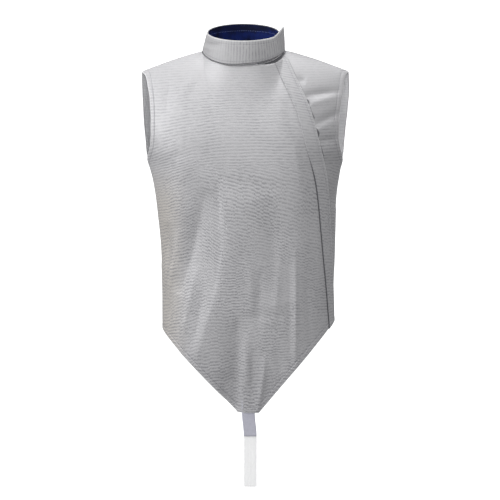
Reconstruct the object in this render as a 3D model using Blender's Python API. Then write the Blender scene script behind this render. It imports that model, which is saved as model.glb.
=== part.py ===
"""Fencing overvest of conductive silver cloth, in the hollow form that it has when worn.

Metres, +Z up, front towards -Y. The origin lies between the wearer's shoulders.
"""
import math
from bisect import bisect_right

import bmesh
import bpy
from mathutils import Vector

COLLECTION = "fencing_vest"

# Cloth and clearances
WALL = 0.002
BAND_WALL = 0.0012
COLLAR_WALL = 0.0016
LINING_WALL = 0.0012
STRAP_WALL = 0.0015
GAP = 0.0003
SEAM_EASE = 0.00016
SEAM_REACH = 0.002

# Heights from the shoulder level
TIP_OF_SHOULDER = -0.034
UNDERARM = -0.210
HEM_LEFT = -0.532
HEM_RIGHT = -0.515
HEM_BACK_RISE = 0.006
HEM_TIP = -0.6834
TIP_LEFT_X = -0.020
TIP_RIGHT_X = 0.022

# Section shape and the way it rounds over the shoulder
SQUARENESS = 2.4
SHOULDER_CURL = 1.75
SHOULDER_FALL = 0.175
SHOULDER_X = -0.004
SHOULDER_OUT = 0.200
SHOULDER_HALF_WIDTH = 0.214

# Neck seam: an ellipse in plan, low at the front
NECK_X = -0.009
NECK_HALF_WIDTH = 0.078
NECK_FRONT_DEPTH = 0.080
NECK_BACK_DEPTH = 0.072
NECK_FRONT_DROP = 0.0365
NECK_FRONT_FULLNESS = 0.78
NECK_BACK_DROP = 0.008
NECK_REACH = 0.110
NECK_LEAST_REACH = 0.1

# Collar: one strip, from its covered end round the back to its free end
COLLAR_X = -0.008
COLLAR_Y = -0.004
COLLAR_HALF_WIDTH = 0.070
COLLAR_HALF_DEPTH = 0.070
COLLAR_TOP_HEIGHT = 0.0412
COLLAR_TOP_TILT = 0.0164
COLLAR_BULGE = 0.001
COLLAR_SEAT = 0.0014
COLLAR_START = math.radians(68)
COLLAR_END = math.radians(-349)
COLLAR_LAP_START = math.radians(-232)
COLLAR_LAP_FULL = math.radians(-286)
COLLAR_LAP_OFFSET = 0.0048
COLLAR_LAP_LIFT = 0.0035
COLLAR_FREE_START = math.radians(-316)
COLLAR_END_FLARE = 0.0045
COLLAR_END_LIFT = 0.0135
COLLAR_FOLD = 0.0015

# Overlapping front edge: its band, its rise over the side front, and its own neckline
BAND_WIDTH = 0.028
OVERLAP_RISE = 0.0038
UNDERLAP_WIDTH = 0.050
RISE_START = 0.110
RISE_FULL = 0.052
EDGE_TOP = -0.0045
BAND_TOP = -0.0185
NECK_OPEN_DROP = 0.007
NECK_OPEN_START_X = 0.014
NECK_OPEN_END_X = 0.056

# Crotch strap
STRAP_X = 0.0035
STRAP_WIDTH = 0.025
WEBBING_INSIDE = 0.026
WEBBING_END = -0.729
ELASTIC_LAP = 0.012
ELASTIC_END = -0.828

# Grid divisions of the pieces
SIDE_ROWS = 21
ARMHOLE_ROWS = 14
ROWS = SIDE_ROWS + ARMHOLE_ROWS
UNDERARM_CROWDING = 1.45
SHOULDER_CROWDING = 1.75
NECK_FAN = 3
SHOULDER_FADE = 2.2
FRONT_LEFT_COLUMNS = 15
FRONT_TIP_COLUMNS = 2
FRONT_RIGHT_COLUMNS = 10
FRONT_COLUMNS = FRONT_LEFT_COLUMNS + FRONT_TIP_COLUMNS + FRONT_RIGHT_COLUMNS
FRONT_SHOULDER_COLUMNS = 8
BAND_COLUMNS = 3
SIDE_FRONT_COLUMNS = 12
SIDE_FRONT_NECK_COLUMNS = 4
BACK_COLUMNS = 24
BACK_SHOULDER_COLUMNS = 7
COLLAR_COLUMNS = 56
COLLAR_ROWS = 4
STRAP_COLUMNS = 2
STRAP_ROWS = 6


class Table:
    """Rows of named columns; value() reads a smooth curve through one column."""

    def __init__(self, columns, rows):
        ordered = sorted(rows)
        self.keys = [row[0] for row in ordered]
        self.values = {name: [row[i] for row in ordered] for i, name in enumerate(columns)}

    def slope(self, values, index):
        """Slope at a row that keeps the curve from overshooting its rows."""
        keys = self.keys
        steps = [(values[i + 1] - values[i]) / (keys[i + 1] - keys[i])
                 for i in (index - 1, index) if 0 <= i < len(keys) - 1]
        if len(steps) == 1:
            return steps[0]
        before, after = steps
        return 2 * before * after / (before + after) if before * after > 0 else 0.0

    def value(self, name, key):
        keys, values = self.keys, self.values[name]
        key = min(max(key, keys[0]), keys[-1])
        i = min(bisect_right(keys, key), len(keys) - 1) - 1
        span = keys[i + 1] - keys[i]
        t = (key - keys[i]) / span
        start, end = self.slope(values, i) * span, self.slope(values, i + 1) * span
        rise = values[i + 1] - values[i]
        return values[i] + t * start + t * t * (3 * rise - 2 * start - end) + t ** 3 * (start + end - 2 * rise)


# Horizontal sections of the worn form
SECTIONS = Table(
    ("height", "centre", "half_width", "front", "back"),
    (
        (0.030, SHOULDER_X, SHOULDER_HALF_WIDTH, 0.090, 0.090),
        (TIP_OF_SHOULDER, SHOULDER_X, SHOULDER_HALF_WIDTH, 0.098, 0.100),
        (-0.076, -0.0035, 0.2140, 0.105, 0.107),
        (-0.105, -0.0040, 0.2120, 0.110, 0.111),
        (-0.144, -0.0050, 0.2065, 0.115, 0.114),
        (-0.183, -0.0050, 0.1975, 0.118, 0.114),
        (UNDERARM, -0.0045, 0.1878, 0.119, 0.113),
        (-0.225, -0.0040, 0.1840, 0.119, 0.112),
        (-0.245, -0.0030, 0.1800, 0.118, 0.110),
        (-0.284, -0.0020, 0.1750, 0.116, 0.106),
        (-0.343, 0.0000, 0.1713, 0.112, 0.100),
        (-0.402, 0.0008, 0.1688, 0.109, 0.097),
        (-0.461, 0.0008, 0.1672, 0.108, 0.099),
        (-0.520, 0.0005, 0.1668, 0.108, 0.104),
        (-0.600, 0.0005, 0.1665, 0.107, 0.105),
        (-0.690, 0.0005, 0.1665, 0.104, 0.105),
    ),
)

# Line of the shoulder seam, out from the middle of the body
SHOULDER = Table(
    ("out", "height"),
    (
        (0.000, 0.0145),
        (0.045, 0.0120),
        (0.073, 0.0085),
        (0.087, 0.0055),
        (0.100, 0.0020),
        (0.122, -0.0045),
        (0.145, -0.0120),
        (0.170, -0.0210),
        (0.192, -0.0293),
        (SHOULDER_OUT, TIP_OF_SHOULDER),
        (0.214, -0.0600),
    ),
)

# Edges of the armholes, in degrees round the section from the side seams
SHOULDER_TURN = math.degrees(math.acos((SHOULDER_OUT / SHOULDER_HALF_WIDTH) ** (SQUARENESS / 2)))
ARMHOLE = Table(
    ("height", "front", "back"),
    (
        (TIP_OF_SHOULDER, SHOULDER_TURN, SHOULDER_TURN),
        (-0.042, 28.3, 21.9),
        (-0.062, 31.1, 21.3),
        (-0.087, 33.4, 21.3),
        (-0.112, 33.7, 20.5),
        (-0.143, 32.0, 18.7),
        (-0.168, 28.6, 15.8),
        (-0.186, 22.0, 11.5),
        (-0.196, 14.5, 7.5),
        (-0.203, 7.5, 4.0),
        (UNDERARM, 0.0, 0.0),
    ),
)

# Overlapping edge of the front, from the neck to the side hem
EDGE = Table(
    ("height", "x"),
    (
        (EDGE_TOP, 0.0712),
        (-0.012, 0.0760),
        (-0.030, 0.0842),
        (-0.060, 0.0983),
        (-0.090, 0.1122),
        (-0.125, 0.1244),
        (-0.165, 0.1340),
        (-0.200, 0.1428),
        (-0.245, 0.1504),
        (-0.310, 0.1550),
        (-0.370, 0.1583),
        (-0.440, 0.1617),
        (HEM_RIGHT, 0.1643),
    ),
)

# Largest folds: the line that each follows in front view, its spread to either side and its rise
FOLD_COLUMNS = ("x_top", "z_top", "x_low", "z_low", "bow", "left", "right", "rise")
FOLD_FADE = 0.8
FRONT_FOLDS = (
    (-0.040, -0.250, -0.092, -0.560, 0.014, 0.034, 0.014, 0.0065),
    (-0.079, -0.260, -0.126, -0.460, 0.002, 0.018, 0.018, -0.0055),
    (-0.124, -0.190, -0.117, -0.350, -0.006, 0.020, 0.018, 0.0040),
    (-0.132, -0.350, -0.157, -0.515, -0.004, 0.016, 0.016, 0.0035),
    (-0.156, -0.320, -0.157, -0.410, 0.000, 0.014, 0.014, -0.0045),
    (-0.027, -0.520, -0.032, -0.662, 0.002, 0.020, 0.015, -0.0070),
    (-0.002, -0.520, -0.002, -0.640, 0.000, 0.013, 0.013, 0.0035),
    (0.032, -0.560, 0.020, -0.655, 0.000, 0.014, 0.014, 0.0035),
    (0.088, -0.380, 0.091, -0.585, 0.000, 0.014, 0.016, 0.0035),
    (0.035, -0.290, 0.070, -0.470, 0.000, 0.032, 0.026, -0.0040),
)
SIDE_FRONT_FOLDS = (
    (0.104, -0.088, 0.184, -0.060, 0.002, 0.013, 0.013, -0.0055),
    (0.112, -0.110, 0.186, -0.080, 0.002, 0.013, 0.013, 0.0050),
    (0.126, -0.140, 0.178, -0.106, 0.000, 0.012, 0.012, 0.0035),
    (0.148, -0.140, 0.172, -0.200, 0.000, 0.018, 0.018, -0.0055),
    (0.158, -0.230, 0.166, -0.300, 0.000, 0.014, 0.014, -0.0045),
)
BACK_FOLDS = (
    (0.130, -0.080, 0.080, -0.260, -0.008, 0.022, 0.022, 0.0045),
    (-0.130, -0.090, -0.085, -0.240, 0.008, 0.022, 0.022, 0.0040),
    (0.040, -0.300, 0.100, -0.470, 0.010, 0.024, 0.020, 0.0050),
    (-0.030, -0.280, -0.090, -0.490, -0.008, 0.026, 0.018, 0.0055),
    (0.002, -0.330, -0.010, -0.520, 0.004, 0.020, 0.020, -0.0045),
    (0.130, -0.260, 0.140, -0.420, 0.000, 0.018, 0.018, -0.0045),
    (-0.140, -0.280, -0.130, -0.430, 0.000, 0.018, 0.018, -0.0050),
)


def blend(start, end, t):
    return start + (end - start) * t


def ease(t):
    """Smooth step from 0 to 1."""
    t = min(max(t, 0.0), 1.0)
    return t * t * (3 - 2 * t)


def fold_rise(folds, x, z):
    """Height of the folds over the plain form at a place in front view."""
    total = 0.0
    for row in folds:
        fold = dict(zip(FOLD_COLUMNS, row))
        run_x, run_z = fold["x_low"] - fold["x_top"], fold["z_low"] - fold["z_top"]
        length = math.hypot(run_x, run_z)
        away_x, away_z = x - fold["x_top"], z - fold["z_top"]
        along = (away_x * run_x + away_z * run_z) / length ** 2
        if not 0.0 < along < 1.0:
            continue
        side = (away_z * run_x - away_x * run_z) / length - fold["bow"] * 4 * along * (1 - along)
        spread = fold["right"] if side > 0 else fold["left"]
        total += fold["rise"] * math.exp(-(side / spread) ** 2) * math.sin(math.pi * along) ** FOLD_FADE
    return total


def angle_at(x, height, front=True):
    """Angle round the section at an x: 0 the right side, pi/2 the front, pi the left side."""
    ratio = (x - SECTIONS.value("centre", height)) / SECTIONS.value("half_width", height)
    ratio = min(max(ratio, -1.0), 1.0)
    angle = math.acos(math.copysign(abs(ratio) ** (SQUARENESS / 2), ratio))
    return angle if front else 2 * math.pi - angle


def x_at(angle, height):
    """The x of an angle round the section."""
    c = math.cos(angle)
    reach = SECTIONS.value("half_width", height)
    return SECTIONS.value("centre", height) + reach * math.copysign(abs(c) ** (2 / SQUARENESS), c)


def shoulder_height(x):
    return SHOULDER.value("height", abs(x - SHOULDER_X))


def neck_seam(turn):
    """Point of the neck seam; turn is 0 at the right of the neck and pi/2 at its front."""
    x = NECK_X + NECK_HALF_WIDTH * math.cos(turn)
    toward_front = math.sin(turn)
    middle = abs(toward_front)
    if toward_front >= 0:
        depth, drop = NECK_FRONT_DEPTH, NECK_FRONT_DROP * middle * blend(NECK_FRONT_FULLNESS, 1.0, middle)
    else:
        depth, drop = NECK_BACK_DEPTH, NECK_BACK_DROP * middle
    return Vector((x, -depth * toward_front, shoulder_height(x) - drop))


def plain_depth(angle, height, front):
    """Distance of the form from the shoulder plane, rounded over the shoulder seam."""
    swell = abs(math.sin(angle)) ** (2 / SQUARENESS)
    fall = (shoulder_height(x_at(angle, height)) - height) / SHOULDER_FALL
    fall = min(max(fall, 0.0), 1.0)
    curl = (1 - (1 - fall) ** SHOULDER_CURL) ** (1 / SHOULDER_CURL)
    return SECTIONS.value("front" if front else "back", height) * swell * curl


def body_point(angle, height):
    """Point of the outer cloth surface, without folds; near the neck it meets the neck seam."""
    front = angle <= math.pi
    x = x_at(angle, height)
    depth = plain_depth(angle, height, front)
    across = (x - NECK_X) / NECK_HALF_WIDTH
    if abs(across) < 1.0:
        turn = math.acos(across)
        seam = neck_seam(turn if front else -turn)
        reach = NECK_REACH * max(math.sin(turn), NECK_LEAST_REACH)
        near = 1 - max(seam.z - height, 0.0) / reach
        if near > 0:
            plain = plain_depth(angle_at(x, seam.z, front), seam.z, front)
            depth += (abs(seam.y) - plain) * near ** 2
    return Vector((x, -depth if front else depth, height))


def outward(angle, height):
    """Unit normal of the plain form."""
    small_angle, small_height = 0.01, 0.001
    round_step = body_point(angle + small_angle, height) - body_point(angle - small_angle, height)
    up_step = body_point(angle, height + small_height) - body_point(angle, height - small_height)
    return up_step.cross(round_step).normalized()


def cloth_point(angle, height, folds, rise=0.0):
    """Point of a panel: the plain form, moved out by its folds and by what lies under it.

    On a seam it is set beside the seam plane, on its own piece's side.
    """
    point = body_point(angle, height)
    lift = rise + fold_rise(folds, point.x, point.z)
    if lift:
        point += outward(angle, height) * lift
    if abs(point.y) < SEAM_REACH:
        point.y = -SEAM_EASE if angle <= math.pi else SEAM_EASE
    return point


def broken_line(*pairs):
    """Reader of a broken line through (parameter, value) pairs."""
    def read(at):
        for (start, low), (end, high) in zip(pairs, pairs[1:]):
            if at <= end:
                return blend(low, high, (at - start) / (end - start))
        return pairs[-1][1]
    return read


def patch(low, top, left, right, s, t):
    """Coons patch between four edges, each giving an (angle, height) pair.

    The top edge's shape fades quickly below it, so that the columns fan out from the neck and
    the rows lie level at the underarm.
    """
    result = []
    for i, up in enumerate((t ** NECK_FAN, t ** SHOULDER_FADE)):
        corners = blend(blend(low(0)[i], low(1)[i], s), blend(top(0)[i], top(1)[i], s), up)
        result.append(blend(low(s)[i], top(s)[i], up) + blend(left(t)[i], right(t)[i], s) - corners)
    return result


def side_height(t, hem):
    """Height up a side seam and then up an armhole, with closer rows at the armhole's ends."""
    turn = SIDE_ROWS / ROWS
    if t <= turn:
        return blend(hem, UNDERARM, t / turn)
    share = (t - turn) / (1 - turn)
    up, down = share ** UNDERARM_CROWDING, (1 - share) ** SHOULDER_CROWDING
    return blend(UNDERARM, TIP_OF_SHOULDER, up / (up + down))


def side_edge(t, hem, part, seam, direction):
    """Side seam and armhole edge of a piece; its armhole turns from the seam's angle one way."""
    height = side_height(t, hem)
    return seam + direction * math.radians(ARMHOLE.value(part, height)), height


def shoulder_place(share, sign, front):
    """Place on a shoulder seam; share is 0 at the neck and 1 at the armhole."""
    neck_x = NECK_X + sign * NECK_HALF_WIDTH
    x = blend(neck_x, SHOULDER_X + sign * SHOULDER_OUT, share)
    return angle_at(x, shoulder_height(x), front), shoulder_height(x)


def neck_place(turn):
    """Place on the neck seam."""
    seam = neck_seam(turn)
    return angle_at(seam.x, seam.z, math.sin(turn) >= 0), seam.z


def arc_stretch(angle, height):
    """Distance along the cloth for each radian of angle."""
    step = 0.02
    return (body_point(angle + step, height) - body_point(angle, height)).length / step


def edge_angle(height, inside=0.0):
    """Angle of the overlapping edge, or of a line a given distance inside it."""
    angle = angle_at(EDGE.value("x", height), height)
    return angle + inside / arc_stretch(angle, height)


# Front panel: a patch as far as the band's inner line, then the strip that carries the band

def hem_height(x):
    """Height of the V hem."""
    left, right = x_at(math.pi, HEM_LEFT), EDGE.value("x", HEM_RIGHT)
    corners = (left, HEM_LEFT), (TIP_LEFT_X, HEM_TIP), (TIP_RIGHT_X, HEM_TIP), (right, HEM_RIGHT)
    return broken_line(*corners)(x)


BAND_LOW = hem_height(x_at(edge_angle(HEM_RIGHT, BAND_WIDTH), HEM_RIGHT))


def band_inner_line(t):
    height = blend(BAND_LOW, BAND_TOP, t)
    return edge_angle(height, BAND_WIDTH), height


def band_outer_line(t):
    height = blend(HEM_RIGHT, EDGE_TOP, t)
    return edge_angle(height), height


def front_low(s):
    tip_start = FRONT_LEFT_COLUMNS / FRONT_COLUMNS
    tip_end = (FRONT_LEFT_COLUMNS + FRONT_TIP_COLUMNS) / FRONT_COLUMNS
    angles = (
        (0, math.pi),
        (tip_start, angle_at(TIP_LEFT_X, HEM_TIP)),
        (tip_end, angle_at(TIP_RIGHT_X, HEM_TIP)),
        (1, band_inner_line(0)[0]),
    )
    angle = broken_line(*angles)(s)
    return angle, hem_height(x_at(angle, HEM_LEFT))


def front_top(s):
    """Left shoulder seam, then the neckline, which leaves the neck seam towards the right."""
    neck_start = FRONT_SHOULDER_COLUMNS / FRONT_COLUMNS
    if s < neck_start:
        return shoulder_place(1 - s / neck_start, -1, True)
    end_angle, end_height = band_inner_line(1)
    end_turn = math.acos((x_at(end_angle, end_height) - NECK_X) / NECK_HALF_WIDTH)
    seam = neck_seam(blend(math.pi, end_turn, (s - neck_start) / (1 - neck_start)))
    open_share = (seam.x - NECK_OPEN_START_X) / (NECK_OPEN_END_X - NECK_OPEN_START_X)
    height = seam.z - NECK_OPEN_DROP * ease(open_share)
    if s == 1:
        height = end_height
    return angle_at(seam.x, height), height


def front_place(s, t):
    """Angle and height on the front panel."""
    band_start = FRONT_COLUMNS / (FRONT_COLUMNS + BAND_COLUMNS)
    if s <= band_start:
        return patch(
            front_low,
            front_top,
            lambda up: side_edge(up, HEM_LEFT, "front", math.pi, -1),
            band_inner_line,
            s / band_start,
            t,
        )
    share = (s - band_start) / (1 - band_start)
    inner, outer = band_inner_line(t), band_outer_line(t)
    return blend(inner[0], outer[0], share), blend(inner[1], outer[1], share)


def front_point(s, t):
    angle, height = front_place(s, t)
    inside = EDGE.value("x", height) - x_at(angle, height)
    covered = ease((RISE_START - inside) / (RISE_START - RISE_FULL))
    return cloth_point(min(angle, math.pi), height, FRONT_FOLDS, OVERLAP_RISE * covered)


# Side front panel, under the overlapping edge

def side_front_top(s):
    neck_end = SIDE_FRONT_NECK_COLUMNS / SIDE_FRONT_COLUMNS
    if s < neck_end:
        return neck_place(blend(COLLAR_START, 0.0, s / neck_end))
    return shoulder_place((s - neck_end) / (1 - neck_end), 1, True)


def side_front_left(t):
    """Hidden edge of the underlap; at its top it runs to the collar's covered end."""
    top_angle, top_height = side_front_top(0)
    height = blend(HEM_RIGHT, top_height, t)
    shift = top_angle - edge_angle(top_height, UNDERLAP_WIDTH)
    return edge_angle(height, UNDERLAP_WIDTH) + shift * t ** 4, height


def side_front_low(s):
    return blend(side_front_left(0)[0], 0.0, s), HEM_RIGHT


def side_front_point(s, t):
    angle, height = patch(
        side_front_low,
        side_front_top,
        side_front_left,
        lambda up: side_edge(up, HEM_RIGHT, "front", 0.0, 1),
        s,
        t,
    )
    return cloth_point(angle, height, SIDE_FRONT_FOLDS)


# Back panel, from its edge at the right to its edge at the left

JUST_BEHIND = math.pi + 1e-6


def back_low(s):
    height = blend(HEM_RIGHT, HEM_LEFT, s) + HEM_BACK_RISE * math.sin(math.pi * s)
    return blend(2 * math.pi, math.pi, s), height


def back_top(s):
    neck_start = BACK_SHOULDER_COLUMNS / BACK_COLUMNS
    neck_end = 1 - neck_start
    if s < neck_start:
        return shoulder_place(1 - s / neck_start, 1, False)
    if s > neck_end:
        return shoulder_place((s - neck_end) / neck_start, -1, False)
    angle, height = neck_place(blend(0.0, -math.pi, (s - neck_start) / (neck_end - neck_start)))
    return (angle if angle > math.pi else 2 * math.pi - angle), height


def back_point(s, t):
    angle, height = patch(
        back_low,
        back_top,
        lambda up: side_edge(up, HEM_RIGHT, "back", 2 * math.pi, -1),
        lambda up: side_edge(up, HEM_LEFT, "back", math.pi, 1),
        s,
        t,
    )
    return cloth_point(max(angle, JUST_BEHIND), height, BACK_FOLDS)


# Collar

def collar_point(s, t):
    turn = blend(COLLAR_START, COLLAR_END, s)
    high = Vector((
        COLLAR_X + COLLAR_HALF_WIDTH * math.cos(turn),
        COLLAR_Y - COLLAR_HALF_DEPTH * math.sin(turn),
        COLLAR_TOP_HEIGHT - COLLAR_TOP_TILT * math.sin(turn),
    ))
    lapped = ease((COLLAR_LAP_START - turn) / (COLLAR_LAP_START - COLLAR_LAP_FULL))
    free = ease((COLLAR_FREE_START - turn) / (COLLAR_FREE_START - COLLAR_END))
    low = neck_seam(turn) + Vector((0, 0, COLLAR_SEAT + COLLAR_LAP_LIFT * lapped))
    out = COLLAR_LAP_OFFSET * lapped + COLLAR_END_FLARE * free * t + COLLAR_BULGE * math.sin(math.pi * t)
    point = low.lerp(high, t) + Vector((math.cos(turn), -math.sin(turn), 0)) * out
    point.z += COLLAR_END_LIFT * free * t
    return point


# Making the pieces

def clear_scene():
    for thing in list(bpy.data.objects):
        bpy.data.objects.remove(thing, do_unlink=True)


def make_material(name, colour, roughness, metallic):
    material = bpy.data.materials.new(name)
    material.use_nodes = True
    shader = material.node_tree.nodes["Principled BSDF"]
    shader.inputs["Base Color"].default_value = (*colour, 1.0)
    shader.inputs["Roughness"].default_value = roughness
    shader.inputs["Metallic"].default_value = metallic
    return material


def add_sheet(collection, name, columns, rows, place, wall, material):
    """Sheet of cloth: a grid moved to place(s, t), s across and t up, thickened inwards.

    Returns its outer points and normals by (column, row).
    """
    mesh = bpy.data.meshes.new(name)
    sheet = bmesh.new()
    bmesh.ops.create_grid(sheet, x_segments=columns, y_segments=rows, size=0.5)
    cells = {}
    for vert in sheet.verts:
        column, row = round((vert.co.x + 0.5) * columns), round((vert.co.y + 0.5) * rows)
        vert.co = place(column / columns, row / rows)
        cells[column, row] = vert
    sheet.normal_update()
    points = {cell: (vert.co.copy(), vert.normal.copy()) for cell, vert in cells.items()}
    inner = bmesh.ops.create_grid(sheet, x_segments=columns, y_segments=rows, size=0.5)["verts"]
    for vert in inner:
        point, normal = points[round((vert.co.x + 0.5) * columns), round((vert.co.y + 0.5) * rows)]
        vert.co = point - normal * wall
        if abs(point.y) < SEAM_REACH:
            vert.co.y = point.y
    bmesh.ops.reverse_faces(sheet, faces=list({face for vert in inner for face in vert.link_faces}))
    bmesh.ops.bridge_loops(sheet, edges=[edge for edge in sheet.edges if edge.is_boundary])
    bmesh.ops.recalc_face_normals(sheet, faces=sheet.faces)
    sheet.to_mesh(mesh)
    sheet.free()
    mesh.materials.append(material)
    mesh.shade_smooth()
    piece = bpy.data.objects.new(name, mesh)
    collection.objects.link(piece)
    return points


def add_panels(collection, cloth):
    """The three body pieces; returns the outer points of the front."""
    columns = FRONT_COLUMNS + BAND_COLUMNS
    front = add_sheet(collection, "front_panel", columns, ROWS, front_point, WALL, cloth)
    add_sheet(collection, "side_front_panel", SIDE_FRONT_COLUMNS, ROWS, side_front_point, WALL, cloth)
    add_sheet(collection, "back_panel", BACK_COLUMNS, ROWS, back_point, WALL, cloth)
    return front


def add_band(collection, front, cloth):
    """Strip sewn on the outside of the front, made from the front's own points."""
    def place(s, t):
        point, normal = front[FRONT_COLUMNS + round(s * BAND_COLUMNS), round(t * ROWS)]
        return point + normal * (GAP + BAND_WALL)
    add_sheet(collection, "placket_band", BAND_COLUMNS, ROWS, place, BAND_WALL, cloth)


def add_collar(collection, cloth, blue):
    """Stand collar, and its lining made from the collar's own points."""
    shell = add_sheet(
        collection, "collar_shell", COLLAR_COLUMNS, COLLAR_ROWS, collar_point, COLLAR_WALL, cloth,
    )

    def lining_place(s, t):
        point, normal = shell[round(s * COLLAR_COLUMNS), round(t * COLLAR_ROWS)]
        fold = COLLAR_FOLD if t == 1 else 0.0
        return point - normal * (COLLAR_WALL + GAP) - Vector((0, 0, fold))
    add_sheet(collection, "collar_lining", COLLAR_COLUMNS, COLLAR_ROWS, lining_place, LINING_WALL, blue)


def add_strap(collection, front, grey, white):
    """Webbing seated behind the tip, and the elastic seated behind the webbing."""
    tip = range(FRONT_LEFT_COLUMNS, FRONT_LEFT_COLUMNS + FRONT_TIP_COLUMNS + 1)
    low_rows = [row for row in range(ROWS) if front[tip[1], row][0].z < HEM_TIP + WEBBING_INSIDE]
    behind = max(front[column, row][0].y for column in tip for row in low_rows) + WALL + GAP

    def strip(top, end, depth):
        def place(s, t):
            return Vector((STRAP_X + STRAP_WIDTH * (s - 0.5), depth, blend(end, top, t)))
        return place
    webbing = strip(HEM_TIP + WEBBING_INSIDE, WEBBING_END, behind)
    add_sheet(collection, "strap_webbing", STRAP_COLUMNS, STRAP_ROWS, webbing, STRAP_WALL, grey)
    elastic = strip(WEBBING_END + ELASTIC_LAP, ELASTIC_END, behind + STRAP_WALL + GAP)
    add_sheet(collection, "strap_elastic", STRAP_COLUMNS, STRAP_ROWS, elastic, STRAP_WALL, white)


def build(collection):
    silver_cloth = make_material("silver_cloth", (0.50, 0.50, 0.51), 0.5, 0.35)
    blue_lining = make_material("blue_lining", (0.012, 0.022, 0.095), 0.7, 0.0)
    grey_webbing = make_material("grey_webbing", (0.47, 0.47, 0.52), 0.7, 0.0)
    white_elastic = make_material("white_elastic", (0.85, 0.85, 0.86), 0.6, 0.0)
    front = add_panels(collection, silver_cloth)
    add_band(collection, front, silver_cloth)
    add_collar(collection, silver_cloth, blue_lining)
    add_strap(collection, front, grey_webbing, white_elastic)


clear_scene()
vest = bpy.data.collections.new(COLLECTION)
bpy.context.scene.collection.children.link(vest)
build(vest)
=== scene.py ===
import math

import bmesh
import bpy
import numpy as np
from mathutils import Matrix, Vector
from mathutils.kdtree import KDTree


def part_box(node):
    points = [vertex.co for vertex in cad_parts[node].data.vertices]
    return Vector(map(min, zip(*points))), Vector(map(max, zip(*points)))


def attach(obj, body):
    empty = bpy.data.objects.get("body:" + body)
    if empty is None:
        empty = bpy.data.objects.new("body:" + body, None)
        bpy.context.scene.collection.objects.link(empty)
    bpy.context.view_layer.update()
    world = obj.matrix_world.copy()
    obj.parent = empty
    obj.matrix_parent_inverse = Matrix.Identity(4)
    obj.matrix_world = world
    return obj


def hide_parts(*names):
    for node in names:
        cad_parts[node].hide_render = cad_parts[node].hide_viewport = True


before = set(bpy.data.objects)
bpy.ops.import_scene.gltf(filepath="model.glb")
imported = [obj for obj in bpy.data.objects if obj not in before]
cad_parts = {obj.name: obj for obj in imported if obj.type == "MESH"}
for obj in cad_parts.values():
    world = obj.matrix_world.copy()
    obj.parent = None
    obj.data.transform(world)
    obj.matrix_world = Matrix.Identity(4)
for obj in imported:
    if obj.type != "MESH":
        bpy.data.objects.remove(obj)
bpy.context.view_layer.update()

# The camera looks level at the chest from the front, a little from above, as in the photograph.
# The room is a plain pale floor and wall that only the camera sees; large soft lamps light the vest.
CAMERA_DISTANCE = 4.0
CAMERA_ELEVATION = math.radians(6)
CAMERA_TARGET = Vector((0.0049, 0.0, -0.3804))
METRES_PER_PIXEL = 0.00195
FRAME_PIXELS = 500
FLOOR_Z = -1.40
ROOM_RADIUS = 9.0
ROOM_HEIGHT = 6.0
ROOM_SIDES = 64
DAYLIGHT = (0.985, 0.99, 1.0, 1)
DAYLIGHT_STRENGTH = 0.40
# Each lamp's name, place, the point it is turned to, its side and its power in watts
LAMPS = (
    ("key_lamp", (-3.3, -1.0, 1.1), (0.0, 0.0, -0.30), 1.8, 99),
    ("fill_lamp", (0.1, -3.2, 0.3), (0.0, 0.0, -0.3), 1.2, 38),
    ("top_lamp", (0.2, -0.05, 1.8), (0.0, 0.0, 0.0), 1.2, 34),
)


def put_in(name, data):
    """Object of that data, in the scene."""
    thing = bpy.data.objects.new(name, data)
    bpy.context.scene.collection.objects.link(thing)
    return thing


def finished_mesh(name, shape, *materials):
    """Mesh of a bmesh, with its materials."""
    mesh = bpy.data.meshes.new(name)
    shape.to_mesh(mesh)
    shape.free()
    for material in materials:
        mesh.materials.append(material)
    return mesh


camera_data = bpy.data.cameras.new("camera")
camera_data.sensor_width = 36.0
camera_data.lens = camera_data.sensor_width * CAMERA_DISTANCE / (FRAME_PIXELS * METRES_PER_PIXEL)
camera = put_in("camera", camera_data)
towards_camera = Vector((0, -math.cos(CAMERA_ELEVATION), math.sin(CAMERA_ELEVATION)))
camera.location = CAMERA_TARGET + towards_camera * CAMERA_DISTANCE
camera.rotation_euler = towards_camera.to_track_quat("Z", "Y").to_euler()
bpy.context.scene.camera = camera
bpy.context.scene.view_settings.view_transform = "Standard"

room_paint = bpy.data.materials.new("white_room")
room_paint.use_nodes = True
room_shader = room_paint.node_tree.nodes["Principled BSDF"]
room_shader.inputs["Base Color"].default_value = (1, 1, 1, 1)
room_shader.inputs["Emission Color"].default_value = (1, 1, 1, 1)
room_shader.inputs["Emission Strength"].default_value = 1.0
room_shape = bmesh.new()
bmesh.ops.create_cone(
    room_shape, cap_ends=True, segments=ROOM_SIDES, radius1=ROOM_RADIUS, radius2=ROOM_RADIUS,
    depth=ROOM_HEIGHT,
)
bmesh.ops.translate(room_shape, verts=room_shape.verts, vec=(0, 0, FLOOR_Z + ROOM_HEIGHT / 2))
bmesh.ops.reverse_faces(room_shape, faces=room_shape.faces)
room = put_in("room", finished_mesh("room", room_shape, room_paint))
room.visible_diffuse = False
room.visible_glossy = False
room.visible_shadow = False

world = bpy.data.worlds.new("soft_daylight")
world.use_nodes = True
world.node_tree.nodes["Background"].inputs["Color"].default_value = DAYLIGHT
world.node_tree.nodes["Background"].inputs["Strength"].default_value = DAYLIGHT_STRENGTH
bpy.context.scene.world = world


def hang_lamp(name, place, aim, size, power):
    """Square soft lamp at place, turned to aim."""
    data = bpy.data.lights.new(name, "AREA")
    data.size = size
    data.energy = power
    lamp = put_in(name, data)
    lamp.location = place
    lamp.rotation_euler = (Vector(place) - Vector(aim)).to_track_quat("Z", "Y").to_euler()


for lamp_row in LAMPS:
    hang_lamp(*lamp_row)


# Front: one large panel of woven silver cloth from the left side seam to a diagonal edge, cut to a
# V with a flat tip. Its armhole and hem are turned in and stitched, and it is worn filled out.
# Heights are from the shoulder level, x from the middle of the vest, in metres.

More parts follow.
